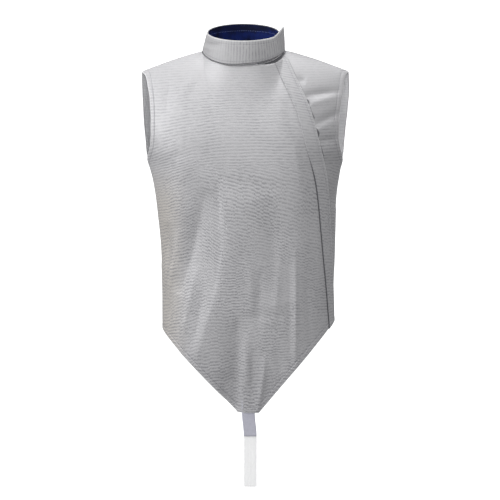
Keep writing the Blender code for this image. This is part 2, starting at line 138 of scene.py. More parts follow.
# Outline: the ends of the side seam, armhole and hem
TIP_OF_SHOULDER = -0.034
UNDERARM = -0.210
HEM_LEFT = -0.532
HEM_RIGHT = -0.515
HEM_TIP = -0.6834
TIP_LEFT_X = -0.020
TIP_RIGHT_X = 0.022
# Form: how square its sections are, how it curls over the shoulders, and the seam round the neck
SQUARENESS = 2.4
SHOULDER_CURL = 1.75
SHOULDER_FALL = 0.175
SHOULDER_X = -0.004
SHOULDER_OUT = 0.200
SHOULDER_HALF_WIDTH = 0.214
NECK_X = -0.009
NECK_HALF_WIDTH = 0.078
NECK_FRONT_DEPTH = 0.080
NECK_BACK_DEPTH = 0.072
NECK_FRONT_DROP = 0.0365
NECK_FRONT_FULLNESS = 0.78
NECK_BACK_DROP = 0.008
NECK_REACH = 0.110
NECK_CORNER_REACH = 0.011
NECK_CORNER_SPREAD = 0.012
NECK_CORNER_SINK = 0.52
# Diagonal edge: the band along it, and its rise over the panel below
BAND_WIDTH = 0.028
OVERLAP_RISE = 0.0038
RISE_START = 0.110
RISE_FULL = 0.052
EDGE_TOP = -0.0045
BAND_TOP = -0.0185
NECK_OPEN_DROP = 0.007
NECK_OPEN_START_X = 0.014
NECK_OPEN_END_X = 0.056

# Cloth: its wall, its sewn seams, and its edges, which are turned in and stitched down
CLOTH_WALL = 0.0007
SEAM_DIP = 0.0010
SEAM_SPREAD = 0.0028
HEM_DEPTH = 0.010
HEM_LIFT = 0.0004
HEM_ROUND = 0.0014
HEM_LAYERS = 2.6
STITCH_DIP = 0.0006
STITCH_SPREAD = 0.0009
# Distance that stands for no such line on a piece
FAR = 1.0
# Distances from a turned edge at which the cloth gets a line of its own, and the share of a plain
# step by which the next line stays clear of them
EDGE_STEPS = (
    0.0006, 0.0014, 0.003, 0.005, 0.007, 0.0085, 0.0095, 0.0105, 0.0115, 0.0125, 0.0135, 0.0145, 0.0165,
)
EDGE_CLEARANCE = 0.3

# Grid: rows up the side seam and the armhole, columns along the hem, and how they crowd and fan
SIDE_ROWS = 21
ARMHOLE_ROWS = 14
ROWS = SIDE_ROWS + ARMHOLE_ROWS
UNDERARM_CROWDING = 1.45
SHOULDER_CROWDING = 1.75
FRONT_FAN = 5
SHOULDER_FADE = 2.2
FRONT_LEFT_COLUMNS = 15
FRONT_TIP_COLUMNS = 2
FRONT_COLUMNS = 27
FRONT_SHOULDER_COLUMNS = 8
BAND_COLUMNS = 3
FINE_COLUMNS = 6
FINE_ROWS = 6


class Curve:
    """Smooth curves through rows of named columns; the first column is the place along them."""

    def __init__(self, columns, rows):
        self.table = dict(zip(columns, np.array(sorted(rows)).T))
        self.keys = self.table[columns[0]]

    def at(self, name, place):
        keys, values = self.keys, self.table[name]
        steps = np.diff(values) / np.diff(keys)
        before, after = steps[:-1], steps[1:]
        level = before * after <= 0
        inner = np.where(level, 0.0, 2 * before * after / np.where(level, 1.0, before + after))
        slopes = np.concatenate((steps[:1], inner, steps[-1:]))
        place = np.clip(place, keys[0], keys[-1])
        i = np.clip(np.searchsorted(keys, place, side="right") - 1, 0, len(keys) - 2)
        span = keys[i + 1] - keys[i]
        t = (place - keys[i]) / span
        start, end, rise = slopes[i] * span, slopes[i + 1] * span, values[i + 1] - values[i]
        square, cube = 3 * rise - 2 * start - end, start + end - 2 * rise
        return values[i] + t * start + t ** 2 * square + t ** 3 * cube


# Sections of the filled-out vest at each height: middle, half width, and depths from the seams
SECTIONS = Curve(
    ("height", "centre", "half_width", "front", "back"),
    (
        (0.030, SHOULDER_X, SHOULDER_HALF_WIDTH, 0.090, 0.090),
        (TIP_OF_SHOULDER, SHOULDER_X, SHOULDER_HALF_WIDTH, 0.098, 0.100),
        (-0.076, -0.0035, 0.2140, 0.105, 0.107),
        (-0.105, -0.0040, 0.2120, 0.110, 0.111),
        (-0.144, -0.0050, 0.2065, 0.115, 0.114),
        (-0.183, -0.0050, 0.1975, 0.118, 0.114),
        (UNDERARM, -0.0045, 0.1878, 0.119, 0.113),
        (-0.225, -0.0040, 0.1840, 0.119, 0.112),
        (-0.245, -0.0030, 0.1800, 0.118, 0.110),
        (-0.284, -0.0020, 0.1750, 0.116, 0.106),
        (-0.343, 0.0000, 0.1713, 0.112, 0.100),
        (-0.402, 0.0008, 0.1688, 0.109, 0.097),
        (-0.461, 0.0008, 0.1672, 0.108, 0.099),
        (-0.520, 0.0005, 0.1668, 0.108, 0.104),
        (-0.600, 0.0005, 0.1665, 0.107, 0.105),
        (-0.690, 0.0005, 0.1665, 0.104, 0.105),
    ),
)
# Shoulder seam: its height at each distance out from the middle
SHOULDER = Curve(
    ("out", "height"),
    (
        (0.000, 0.0145),
        (0.045, 0.0120),
        (0.073, 0.0085),
        (0.087, 0.0055),
        (0.100, 0.0020),
        (0.122, -0.0045),
        (0.145, -0.0120),
        (0.170, -0.0210),
        (0.192, -0.0293),
        (SHOULDER_OUT, TIP_OF_SHOULDER),
        (0.214, -0.0600),
    ),
)
SHOULDER_TURN = math.degrees(math.acos((SHOULDER_OUT / SHOULDER_HALF_WIDTH) ** (SQUARENESS / 2)))
# Armhole: degrees from the side seam to its edge
ARMHOLE = Curve(
    ("height", "front", "back"),
    (
        (TIP_OF_SHOULDER, SHOULDER_TURN, SHOULDER_TURN),
        (-0.042, 28.3, 21.9),
        (-0.062, 31.1, 21.3),
        (-0.087, 33.4, 21.3),
        (-0.112, 33.7, 20.5),
        (-0.143, 32.0, 18.7),
        (-0.168, 28.6, 15.8),
        (-0.186, 22.0, 11.5),
        (-0.196, 14.5, 7.5),
        (-0.203, 7.5, 4.0),
        (UNDERARM, 0.0, 0.0),
    ),
)
# Diagonal edge, as it runs in front view
EDGE = Curve(
    ("height", "x"),
    (
        (EDGE_TOP, 0.0712),
        (-0.012, 0.0760),
        (-0.030, 0.0842),
        (-0.060, 0.0983),
        (-0.090, 0.1122),
        (-0.125, 0.1244),
        (-0.165, 0.1340),
        (-0.200, 0.1428),
        (-0.245, 0.1504),
        (-0.310, 0.1550),
        (-0.370, 0.1583),
        (-0.440, 0.1617),
        (HEM_RIGHT, 0.1643),
    ),
)

# Folds: the line that each follows in front view, its spread to either side and its rise
FOLD_COLUMNS = ("x_top", "z_top", "x_low", "z_low", "bow", "left", "right", "rise")
FOLD_SHARPNESS = 1.45
FOLD_TAPER = 0.8
FRONT_FOLDS = (
    (-0.040, -0.235, -0.104, -0.610, 0.016, 0.024, 0.085, 0.0086),
    (-0.040, -0.250, -0.098, -0.580, 0.016, 0.010, 0.040, 0.0032),
    (-0.079, -0.250, -0.130, -0.460, 0.002, 0.016, 0.018, -0.0070),
    (-0.124, -0.190, -0.117, -0.350, -0.006, 0.020, 0.018, 0.0050),
    (-0.131, -0.330, -0.157, -0.525, -0.003, 0.008, 0.014, 0.0056),
    (-0.154, -0.320, -0.155, -0.410, 0.000, 0.010, 0.010, -0.0060),
    (-0.155, -0.440, -0.156, -0.520, 0.000, 0.006, 0.008, -0.0036),
    (-0.120, -0.500, -0.127, -0.590, 0.000, 0.006, 0.012, 0.0022),
    (-0.019, -0.500, -0.025, -0.760, 0.000, 0.028, 0.010, -0.0130),
    (-0.048, -0.600, -0.036, -0.740, 0.000, 0.014, 0.018, -0.0040),
    (-0.002, -0.520, -0.004, -0.640, 0.000, 0.004, 0.006, 0.0032),
    (0.011, -0.555, 0.011, -0.670, 0.000, 0.006, 0.005, -0.0030),
    (0.032, -0.570, 0.016, -0.690, 0.003, 0.004, 0.006, 0.0042),
    (0.089, -0.365, 0.090, -0.610, 0.000, 0.0030, 0.006, 0.0030),
    (0.081, -0.380, 0.080, -0.590, 0.000, 0.008, 0.004, -0.0012),
    (0.035, -0.270, 0.070, -0.470, 0.000, 0.032, 0.026, -0.0050),
    (-0.058, -0.235, -0.052, -0.330, 0.000, 0.008, 0.005, -0.0028),
    (-0.046, -0.300, -0.074, -0.500, 0.006, 0.010, 0.006, -0.0030),
    (-0.098, -0.400, -0.132, -0.560, 0.003, 0.007, 0.009, 0.0030),
    (-0.086, -0.450, -0.104, -0.560, 0.002, 0.008, 0.005, -0.0022),
    (-0.140, -0.420, -0.152, -0.530, 0.000, 0.004, 0.006, -0.0020),
    (0.060, -0.340, 0.048, -0.520, 0.004, 0.010, 0.010, 0.0022),
    (0.028, -0.400, 0.022, -0.540, -0.003, 0.010, 0.007, -0.0018),
    (0.000, -0.380, 0.006, -0.500, 0.003, 0.007, 0.010, 0.0018),
    (0.108, -0.400, 0.118, -0.570, 0.002, 0.008, 0.010, -0.0020),
    (0.128, -0.300, 0.136, -0.500, 0.002, 0.008, 0.010, 0.0016),
    (-0.078, -0.503, 0.104, -0.497, 0.003, 0.007, 0.010, -0.0008),
    (0.050, -0.560, 0.070, -0.610, 0.000, 0.006, 0.008, -0.0016),
    (0.010, -0.110, 0.070, -0.340, 0.012, 0.034, 0.038, 0.0018),
    (-0.150, -0.190, -0.120, -0.300, 0.006, 0.010, 0.010, -0.0016),
    (-0.140, -0.160, -0.070, -0.270, 0.006, 0.014, 0.016, 0.0014),
    (-0.110, -0.160, -0.040, -0.250, 0.006, 0.012, 0.014, -0.0010),
    (-0.090, -0.030, -0.112, -0.085, 0.002, 0.008, 0.009, -0.0013),
    (-0.096, -0.014, -0.132, -0.090, 0.004, 0.009, 0.009, 0.0011),
    (-0.150, -0.040, -0.158, -0.120, 0.002, 0.008, 0.008, -0.0014),
    (0.070, -0.080, 0.094, -0.180, -0.002, 0.012, 0.010, -0.0009),
    (0.080, -0.130, 0.110, -0.300, 0.000, 0.010, 0.012, 0.0016),
)


def ease(t):
    """Smooth step from 0 to 1."""
    t = np.clip(t, 0.0, 1.0)
    return t * t * (3 - 2 * t)


def blend(start, end, t):
    return start + (end - start) * t


def named(columns, rows):
    """Rows of a table, each by the names of its columns."""
    return [dict(zip(columns, row)) for row in rows]


def fold_rise(folds, x, z):
    """Height of the folds over the plain form at places in front view."""
    total = np.zeros_like(x)
    for fold in named(FOLD_COLUMNS, folds):
        run_x, run_z = fold["x_low"] - fold["x_top"], fold["z_low"] - fold["z_top"]
        length = math.hypot(run_x, run_z)
        away_x, away_z = x - fold["x_top"], z - fold["z_top"]
        along = np.clip((away_x * run_x + away_z * run_z) / length ** 2, 0.0, 1.0)
        side = (away_z * run_x - away_x * run_z) / length - fold["bow"] * 4 * along * (1 - along)
        spread = np.where(side > 0, fold["right"], fold["left"])
        profile = np.exp(-np.abs(side / spread) ** FOLD_SHARPNESS)
        total += fold["rise"] * profile * np.sin(math.pi * along) ** FOLD_TAPER
    return total


def angle_at(x, height, front=True):
    """Angle round the section at an x: 0 the right side, pi/2 the front, pi the left side."""
    ratio = (x - SECTIONS.at("centre", height)) / SECTIONS.at("half_width", height)
    ratio = np.clip(ratio, -1.0, 1.0)
    angle = np.arccos(np.sign(ratio) * np.abs(ratio) ** (SQUARENESS / 2))
    return np.where(front, angle, 2 * math.pi - angle)


def x_at(angle, height):
    c = np.cos(angle)
    reach = np.sign(c) * np.abs(c) ** (2 / SQUARENESS)
    return SECTIONS.at("centre", height) + SECTIONS.at("half_width", height) * reach


def shoulder_height(x):
    return SHOULDER.at("height", np.abs(x - SHOULDER_X))


def neck_seam(turn):
    """Points of the neck seam; turn is 0 at the right of the neck and pi/2 at its front."""
    x = NECK_X + NECK_HALF_WIDTH * np.cos(turn)
    towards_front = np.sin(turn)
    middle = np.abs(towards_front)
    front = towards_front >= 0
    depth = np.where(front, NECK_FRONT_DEPTH, NECK_BACK_DEPTH)
    front_drop = NECK_FRONT_DROP * middle * blend(NECK_FRONT_FULLNESS, 1.0, middle)
    drop = np.where(front, front_drop, NECK_BACK_DROP * middle)
    return np.stack((x, -depth * towards_front, shoulder_height(x) - drop), axis=-1)


def plain_depth(angle, height, front):
    """Distance of the form from the shoulder plane, rounded over the shoulder seam."""
    swell = np.abs(np.sin(angle)) ** (2 / SQUARENESS)
    fall = np.clip((shoulder_height(x_at(angle, height)) - height) / SHOULDER_FALL, 0.0, 1.0)
    curl = (1 - (1 - fall) ** SHOULDER_CURL) ** (1 / SHOULDER_CURL)
    depth = np.where(front, SECTIONS.at("front", height), SECTIONS.at("back", height))
    return depth * swell * curl


def body_point(angle, height):
    """Points of the outer cloth surface, without folds.

    Near the neck it meets the neck seam, and just beside the neck's corners it sinks a little, so
    that the panels run on smoothly from the seam to the shoulder.
    """
    front = np.mod(angle, 2 * math.pi) <= math.pi
    x = x_at(angle, height)
    depth = plain_depth(angle, height, front)
    across = (x - NECK_X) / NECK_HALF_WIDTH
    beyond = (np.abs(across) - 1) * NECK_HALF_WIDTH / NECK_CORNER_SPREAD
    under = np.clip(1 - (shoulder_height(x) - height) / NECK_CORNER_REACH, 0, 1)
    depth = depth * (1 - NECK_CORNER_SINK * under ** 4 * (1 - ease(beyond)) * (beyond >= 0))
    turn = np.arccos(np.clip(across, -1.0, 1.0))
    seam = neck_seam(np.where(front, turn, -turn))
    reach = np.maximum(NECK_REACH * np.sin(turn), NECK_CORNER_REACH)
    near = np.clip(1 - np.maximum(seam[..., 2] - height, 0.0) / reach, 0.0, 1.0) * (np.abs(across) < 1)
    plain = plain_depth(angle_at(x, seam[..., 2], front), seam[..., 2], front)
    depth = depth + (np.abs(seam[..., 1]) - plain) * near ** 2
    return np.stack((x, np.where(front, -depth, depth), height + 0 * x), axis=-1)


def outward(angle, height):
    """Unit normals of the plain form."""
    small_angle, small_height = 0.01, 0.001
    round_step = body_point(angle + small_angle, height) - body_point(angle - small_angle, height)
    up_step = body_point(angle, height + small_height) - body_point(angle, height - small_height)
    normal = np.cross(up_step, round_step)
    return normal / np.linalg.norm(normal, axis=-1, keepdims=True)


def cloth_points(angle, height, folds, rise=0.0):
    """Points of a panel: the form moved out by its folds, and dipped along the sewn seams."""
    plain = body_point(angle, height)
    lift = rise + fold_rise(folds, plain[..., 0], plain[..., 2])
    lift = lift - SEAM_DIP * np.exp(-(plain[..., 1] / SEAM_SPREAD) ** 2)
    return plain + outward(angle, height) * lift[..., None]


def patch(low, top, left, right, fan, s, t):
    """Coons patch between four edges, each giving angles and heights, as arrays of both.

    The greater the fan, the closer to the top its columns turn towards the top edge's places.
    """
    result = []
    for i, up in enumerate((t ** fan, t ** SHOULDER_FADE)):
        corners = blend(blend(low(0.0)[i], low(1.0)[i], s), blend(top(0.0)[i], top(1.0)[i], s), up)
        result.append(blend(low(s)[i], top(s)[i], up) + blend(left(t)[i], right(t)[i], s) - corners)
    return result


def side_height(t, hem):
    """Height up a side seam and then up an armhole, with closer rows at the armhole's ends."""
    turn = SIDE_ROWS / ROWS
    share = np.clip((t - turn) / (1 - turn), 0.0, 1.0)
    up, down = share ** UNDERARM_CROWDING, (1 - share) ** SHOULDER_CROWDING
    up_armhole = blend(UNDERARM, TIP_OF_SHOULDER, up / (up + down))
    return np.where(t <= turn, blend(hem, UNDERARM, t / turn), up_armhole)


def side_edge(hem, part, seam, direction):
    """Edge of a panel up a side seam and an armhole, for use in a patch."""
    def edge(t):
        height = side_height(t, hem)
        return seam + direction * np.radians(ARMHOLE.at(part, height)), height
    return edge


def shoulder_place(share, sign, front):
    x = blend(NECK_X + sign * NECK_HALF_WIDTH, SHOULDER_X + sign * SHOULDER_OUT, share)
    return angle_at(x, shoulder_height(x), front), shoulder_height(x)


def arc_stretch(angle, height):
    """Distance along the cloth for each radian of angle."""
    step = 0.02
    return np.linalg.norm(body_point(angle + step, height) - body_point(angle, height), axis=-1) / step


def edge_angle(height, inside):
    """Angle of a line that runs a distance inside the overlapping edge."""
    angle = angle_at(EDGE.at("x", height), height)
    return angle + inside / arc_stretch(angle, height)


def hem_height(x):
    """Height of the V hem."""
    corner_x = (x_at(math.pi, HEM_LEFT), TIP_LEFT_X, TIP_RIGHT_X, EDGE.at("x", HEM_RIGHT))
    return np.interp(x, corner_x, (HEM_LEFT, HEM_TIP, HEM_TIP, HEM_RIGHT))


BAND_LOW = hem_height(x_at(edge_angle(HEM_RIGHT, BAND_WIDTH), HEM_RIGHT))


def band_line(low, top, inside):
    """Line along the diagonal edge, a distance inside it, for use in a patch."""
    def line(t):
        height = blend(low, top, t)
        return edge_angle(height, inside), height
    return line


band_inner_line = band_line(BAND_LOW, BAND_TOP, BAND_WIDTH)
band_outer_line = band_line(HEM_RIGHT, EDGE_TOP, 0.0)
front_left = side_edge(HEM_LEFT, "front", math.pi, -1)


def front_low(s):
    tip_start = FRONT_LEFT_COLUMNS / FRONT_COLUMNS
    tip_end = (FRONT_LEFT_COLUMNS + FRONT_TIP_COLUMNS) / FRONT_COLUMNS
    places = (0, tip_start, tip_end, 1)
    corner_angles = (
        math.pi, angle_at(TIP_LEFT_X, HEM_TIP), angle_at(TIP_RIGHT_X, HEM_TIP), band_inner_line(0.0)[0],
    )
    angle = np.interp(s, places, corner_angles)
    return angle, hem_height(x_at(angle, HEM_LEFT))


def front_top(s):
    """Left shoulder seam, then the neckline, which leaves the neck seam towards the right."""
    neck_start = FRONT_SHOULDER_COLUMNS / FRONT_COLUMNS
    shoulder_angle, shoulder_z = shoulder_place(np.clip(1 - s / neck_start, 0, 1), -1, True)
    end_angle, end_height = band_inner_line(1.0)
    end_turn = np.arccos((x_at(end_angle, end_height) - NECK_X) / NECK_HALF_WIDTH)
    seam = neck_seam(blend(math.pi, end_turn, np.clip((s - neck_start) / (1 - neck_start), 0, 1)))
    open_share = (seam[..., 0] - NECK_OPEN_START_X) / (NECK_OPEN_END_X - NECK_OPEN_START_X)
    neck_z = np.where(s >= 1, end_height, seam[..., 2] - NECK_OPEN_DROP * ease(open_share))
    on_shoulder = s < neck_start
    neck_angle = angle_at(seam[..., 0], neck_z)
    return np.where(on_shoulder, shoulder_angle, neck_angle), np.where(on_shoulder, shoulder_z, neck_z)


def front_points(s, t):
    band_start = FRONT_COLUMNS / (FRONT_COLUMNS + BAND_COLUMNS)
    main_s = np.minimum(s / band_start, 1)
    main = patch(front_low, front_top, front_left, band_inner_line, FRONT_FAN, main_s, t)
    share = np.clip((s - band_start) / (1 - band_start), 0, 1)
    inner, outer = band_inner_line(t), band_outer_line(t)
    on_band = s > band_start
    angle = np.where(on_band, blend(inner[0], outer[0], share), main[0])
    height = np.where(on_band, blend(inner[1], outer[1], share), main[1])
    covered = ease((RISE_START - EDGE.at("x", height) + x_at(angle, height)) / (RISE_START - RISE_FULL))
    return cloth_points(np.minimum(angle, math.pi), height, FRONT_FOLDS, OVERLAP_RISE * covered)


class Panel:
    """Grid of a cloth piece: points[column, row], with their outward normals."""

    def __init__(self, points):
        self.points = points
        self.columns, self.rows = points.shape[0] - 1, points.shape[1] - 1
        normal = np.cross(np.gradient(points, axis=0), np.gradient(points, axis=1))
        self.normals = normal / np.linalg.norm(normal, axis=-1, keepdims=True)

    def distance_from(self, *edges):
        """Distance of each grid point from the nearest of some edges, each a row of points."""
        dense = [blend(edge[:-1], edge[1:], share) for edge in edges for share in (0, 0.25, 0.5, 0.75)]
        dense = np.concatenate(dense)
        tree = KDTree(len(dense))
        for number, point in enumerate(dense):
            tree.insert(point, number)
        tree.balance()
        distances = [tree.find(point)[2] for point in self.points.reshape(-1, 3)]
        return np.array(distances).reshape(self.points.shape[:2])

    def turned_in(self, distance):
        """The panel with its edge turned in: rounded over, a little proud, and stitched down."""
        rounded = np.clip(1 - distance / HEM_ROUND, 0, 1) ** 2 * (HEM_LIFT + STITCH_DIP)
        proud = ease((HEM_DEPTH - distance) / STITCH_SPREAD) * HEM_LIFT
        stitched = np.exp(-((distance - HEM_DEPTH) / STITCH_SPREAD) ** 2) * STITCH_DIP
        return Panel(self.points + self.normals * (proud - rounded - stitched)[..., None])

    def seam(self, distance, depth, side=None):
        """Path and normals of a seam at a depth inside the hem, or inside a side: 0 first, -1 last."""
        grids = self.points, self.normals, distance
        if side is not None:
            grids = [np.swapaxes(grid, 0, 1) for grid in grids]
        if side == -1:
            grids = [grid[:, ::-1] for grid in grids]
        path, normals = [], []
        for points, up, away in zip(*grids):
            if away[0] < depth < away.max():
                place = max(int(np.argmax(away >= depth)), 1)
                share = (depth - away[place - 1]) / (away[place] - away[place - 1])
                path.append(blend(points[place - 1], points[place], share))
                normals.append(up[place])
        return np.array(path), np.array(normals)


def closer_by_edge(places, length):
    """The same places, closer by a turned edge at 0; length is what 0 to 1 covers there."""
    near = np.array(EDGE_STEPS) / length
    clear_from = near[-1] + EDGE_CLEARANCE * (places[-1] - places[-2])
    return np.sort(np.concatenate((places[(places < 1e-9) | (places > clear_from)], near)))


def shares(count, low=0.0, high=0.0):
    """Places from 0 to 1, closer by a turned edge at either end where its cloth's length is given."""
    places = np.linspace(0, 1, count + 1)
    if low:
        places = closer_by_edge(places, low)
    if high:
        places = 1 - closer_by_edge(1 - places[::-1], high)[::-1]
    return places


def spread(across, up, place):
    """Panel of place(s, t), with s across and t up, each from 0 to 1."""
    s, t = np.meshgrid(across, up, indexing="ij")
    return Panel(place(s, t))


def lay_cloth(name, node, panel, threads, wall, finish, inner_finish=None, edge=None, painted_shadow=None):
    """Thin shell on a panel; threads[column, row] are its places along the weave, in metres.

    Edge is the distance from its turned edges, the other from the lines where it is overlapped,
    along which shadow is painted. The wall is thicker by the layers of cloth turned in along an edge.
    """
    distances = {"edge": edge, "painted_shadow": painted_shadow}
    sheet = bmesh.new()
    bmesh.ops.create_grid(sheet, x_segments=panel.columns, y_segments=panel.rows, size=0.5)
    weave = sheet.loops.layers.uv.new("weave")
    value_of = {line: sheet.verts.layers.float.new(line) for line in distances}
    layers = sheet.verts.layers.deform.new()
    for vert in sheet.verts:
        column, row = round((vert.co.x + 0.5) * panel.columns), round((vert.co.y + 0.5) * panel.rows)
        vert.co = panel.points[column, row]
        for line, distance in distances.items():
            vert[value_of[line]] = FAR if distance is None else distance[column, row]
        vert[layers][0] = 1 / HEM_LAYERS if vert[value_of["edge"]] > HEM_DEPTH else 1.0
        for loop in vert.link_loops:
            loop[weave].uv = threads[column, row]
    mesh = finished_mesh(name, sheet, finish.material, (inner_finish or finish).material)
    mesh.shade_smooth()
    piece = put_in(name, mesh)
    piece.vertex_groups.new(name="layers")
    shell = piece.modifiers.new("wall", "SOLIDIFY")
    shell.thickness = wall * HEM_LAYERS
    shell.vertex_group = "layers"
    shell.material_offset = 1
    shell.offset = -1.0
    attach(piece, "root")
    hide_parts(node)
    return piece


# Where the weft leaves the level: centre, half sizes and slope of each tilted area
TILT_COLUMNS = ("x", "z", "half_x", "half_z", "slope")
FRONT_TILTS = (
    (-0.130, -0.170, 0.070, 0.120, 0.22),
    (-0.060, -0.345, 0.022, 0.080, -0.26),
    (-0.130, -0.480, 0.040, 0.060, 0.16),
    (-0.060, -0.600, 0.050, 0.060, 0.14),
    (0.030, -0.640, 0.030, 0.050, 0.08),
)


def run_along(points, axis=0):
    """Distances along rows of points from the first."""
    run = np.cumsum(np.linalg.norm(np.diff(points, axis=axis), axis=-1), axis=axis)
    return np.concatenate((0 * np.take(run, [0], axis), run), axis=axis)


def weft_threads(panel, tilts):
    """Places along the weave: round the body from its middle, and up the cloth, with the tilts."""
    points = panel.points
    run = run_along(points)
    way = np.sign(points[-1, 0, 0] - points[0, 0, 0])
    middle = [np.interp(0.0, way * x, along) for x, along in zip(points[..., 0].T, run.T)]
    profile = points[panel.columns // 4]
    height = points[..., 2]
    up = np.interp(height, profile[:, 2], profile[0, 2] + run_along(profile[:, 1:]))
    up += np.maximum(height - profile[-1, 2], 0.0) + np.minimum(height - profile[0, 2], 0.0)
    for tilt in named(TILT_COLUMNS, tilts):
        off_x, off_z = points[..., 0] - tilt["x"], height - tilt["z"]
        shift = tilt["slope"] * tilt["half_x"] * np.tanh(off_x / tilt["half_x"])
        up -= shift * np.exp(-(off_z / tilt["half_z"]) ** 2)
    return np.stack((run - np.array(middle), up), axis=-1)


class Field:
    """A value that varies over a piece; arithmetic on it adds Math nodes to its finish."""

    def __init__(self, finish, socket):
        self.finish, self.socket = finish, socket

    def __add__(self, other):
        return self.finish.math("ADD", self, other)

    __radd__ = __add__

    def __sub__(self, other):
        return self.finish.math("SUBTRACT", self, other)

    def __rsub__(self, other):
        return self.finish.math("SUBTRACT", other, self)

    def __mul__(self, other):
        return self.finish.math("MULTIPLY", self, other)

    __rmul__ = __mul__

    def __truediv__(self, other):
        return self.finish.math("DIVIDE", self, other)

    def __rtruediv__(self, other):
        return self.finish.math("DIVIDE", other, self)


class Finish:
    """The finish of a cloth, tape or thread: a Principled shader and the nodes that vary it."""

    def __init__(self, name, roughness, metallic=0.0, sheen=0.0):
        self.material = bpy.data.materials.new(name)
        self.material.use_nodes = True
        self.tree = self.material.node_tree
        self.shader = self.tree.nodes["Principled BSDF"]
        self.shader.inputs["Roughness"].default_value = roughness
        self.shader.inputs["Metallic"].default_value = metallic
        self.shader.inputs["Sheen Weight"].default_value = sheen

    def feed(self, socket, value):
        if isinstance(value, Field):
            self.tree.links.new(value.socket, socket)
        else:
            socket.default_value = value

    def add(self, kind, settings, values, output=0):
        """A node of that type, with its settings made first and then its sockets fed."""
        node = self.tree.nodes.new(kind)
        for name, value in settings.items():
            setattr(node, name, value)
        for place, value in values.items():
            self.feed(node.inputs[place], value)
        return Field(self, node.outputs[output])

    def math(self, operation, *values):
        return self.add("ShaderNodeMath", {"operation": operation}, dict(enumerate(values)))

    def place(self):
        """The place on the object, in metres."""
        return self.add("ShaderNodeTexCoord", {}, {}, 3)

    def attribute(self, name):
        return self.add("ShaderNodeAttribute", {"attribute_name": name}, {}, 2)

    def threads(self, across=1.0, up=1.0):
        """The place along the weave in metres, stretched by a factor each way."""
        uv = self.add("ShaderNodeUVMap", {"uv_map": "weave"}, {})
        return self.add("ShaderNodeVectorMath", {"operation": "MULTIPLY"}, {0: uv, 1: (across, up, 0.0)})

    def part_of(self, vector, axis):
        return self.add("ShaderNodeSeparateXYZ", {}, {0: vector}, axis)

    def weave(self):
        """The places across and up the weave in metres, each as a value."""
        place = self.threads()
        return self.part_of(place, 0), self.part_of(place, 1)

    def noise(self, place, detail=2.0):
        return self.add("ShaderNodeTexNoise", {}, {"Vector": place, "Scale": 1.0, "Detail": detail})

    def mottle(self, across, up, detail=2.0):
        """Noise with about so many spots a metre across and up the weave."""
        return self.noise(self.threads(across, up), detail)

    def wave(self, place, length):
        """Sine wave of a length along a value."""
        return self.math("SINE", place * (math.tau / length))

    def grain(self, thread):
        """Plain weave of threads of that size."""
        across, up = self.weave()
        return self.wave(across, thread) * self.wave(up, thread)

    def step(self, value, start, end):
        """Smooth step of a field from 0 at start to 1 at end."""
        sockets = {"Value": value, "From Min": start, "From Max": end}
        return self.add("ShaderNodeMapRange", {"interpolation_type": "SMOOTHSTEP"}, sockets)

    def mix(self, share, first, second):
        return self.add("ShaderNodeMix", {"data_type": "RGBA"}, {0: share, 6: first, 7: second}, 2)

    def blend(self, share, first, second):
        return self.add("ShaderNodeMix", {"data_type": "FLOAT"}, {0: share, 2: first, 3: second})

    def within(self, value, middle, reach, soft=0.0):
        """1 where the field is within reach of a middle value, falling to 0 over the soft width."""
        return 1.0 - self.step(self.math("ABSOLUTE", value - middle), reach, reach + soft)

    def colour(self, value):
        self.feed(self.shader.inputs["Base Color"], value)

    def relief(self, height, distance, strength):
        sockets = {"Height": height, "Distance": distance, "Strength": strength}
        self.feed(self.shader.inputs["Normal"], self.add("ShaderNodeBump", {}, sockets))


RIB = 0.0060
THREAD = 0.0011
RIB_RELIEF = 0.0007
THREAD_RELIEF = 0.0003
SILVER_LIGHT = (0.516, 0.512, 0.524, 1)
SILVER_WARM = (0.530, 0.502, 0.468, 1)
SILVER_SHADE = (0.250, 0.248, 0.265, 1)
# Painted highlight for the rounded rim of a turned edge
SILVER_PAINTED_HIGHLIGHT = (0.76, 0.76, 0.77, 1)
# Painted shadow along the lines where a piece is overlapped or a seam lies in shade
SILVER_PAINTED_SHADOW = (0.09, 0.09, 0.10, 1)
# Inner side: near white, painted light for the light that reaches inside the vest
SILVER_INSIDE_PAINTED_LIGHT = (0.96, 0.96, 0.97, 1)
SILVER_INSIDE_PAINTED_LIGHT_DARKER = (0.80, 0.80, 0.81, 1)
# Distances from an edge over which its painted rim highlight, painted shadow and painted stitch shade fade
PAINTED_HIGHLIGHT_FADE = (0.0008, 0.0026)
PAINTED_SHADOW_WIDTH = 0.0022
PAINTED_SHADOW_FADE = (0.0002, PAINTED_SHADOW_WIDTH)
STITCH_LINE = 0.0012
# How fully the painted shadow and the painted highlight cover the cloth's colour
LINE_COVER = 0.85
# Places between which a look sets in: broken, wandering ribs, a warm tint and painted shade on the tip
BROKEN_Z = (-0.16, -0.30)
WARM_X = (-0.105, -0.165)
WARM_Z = (-0.20, -0.30)
PAINTED_SHADE_TIP_Z = (-0.56, -0.66)
# How far the ribs wander, in ribs, and a groove's floor and slope, in shares of one
WANDER = 1.2
CELL_WANDER = 0.7
GROOVE_FLOOR = 0.08
GROOVE_SLOPE = 0.34
GROOVE_DEPTH = 0.35
LOW_DEPTH = 0.15
GRAIN_DEPTH = 0.08
# How dark a broken groove is, what a whole and a low one add to it, what is left of it in faint
# ribs and patches, and how dark specks and the painted shade along stitch lines and on the tip are
BROKEN_SHADE = 0.14
WHOLE_SHADE = 0.46
LOW_SHADE = 0.3
FAINT_RIBS = 0.40
FAINT_PATCHES = 0.65
STITCH_PAINTED_SHADE = 0.45
SPECK_SHADE = 0.45
TIP_PAINTED_SHADE = 0.22
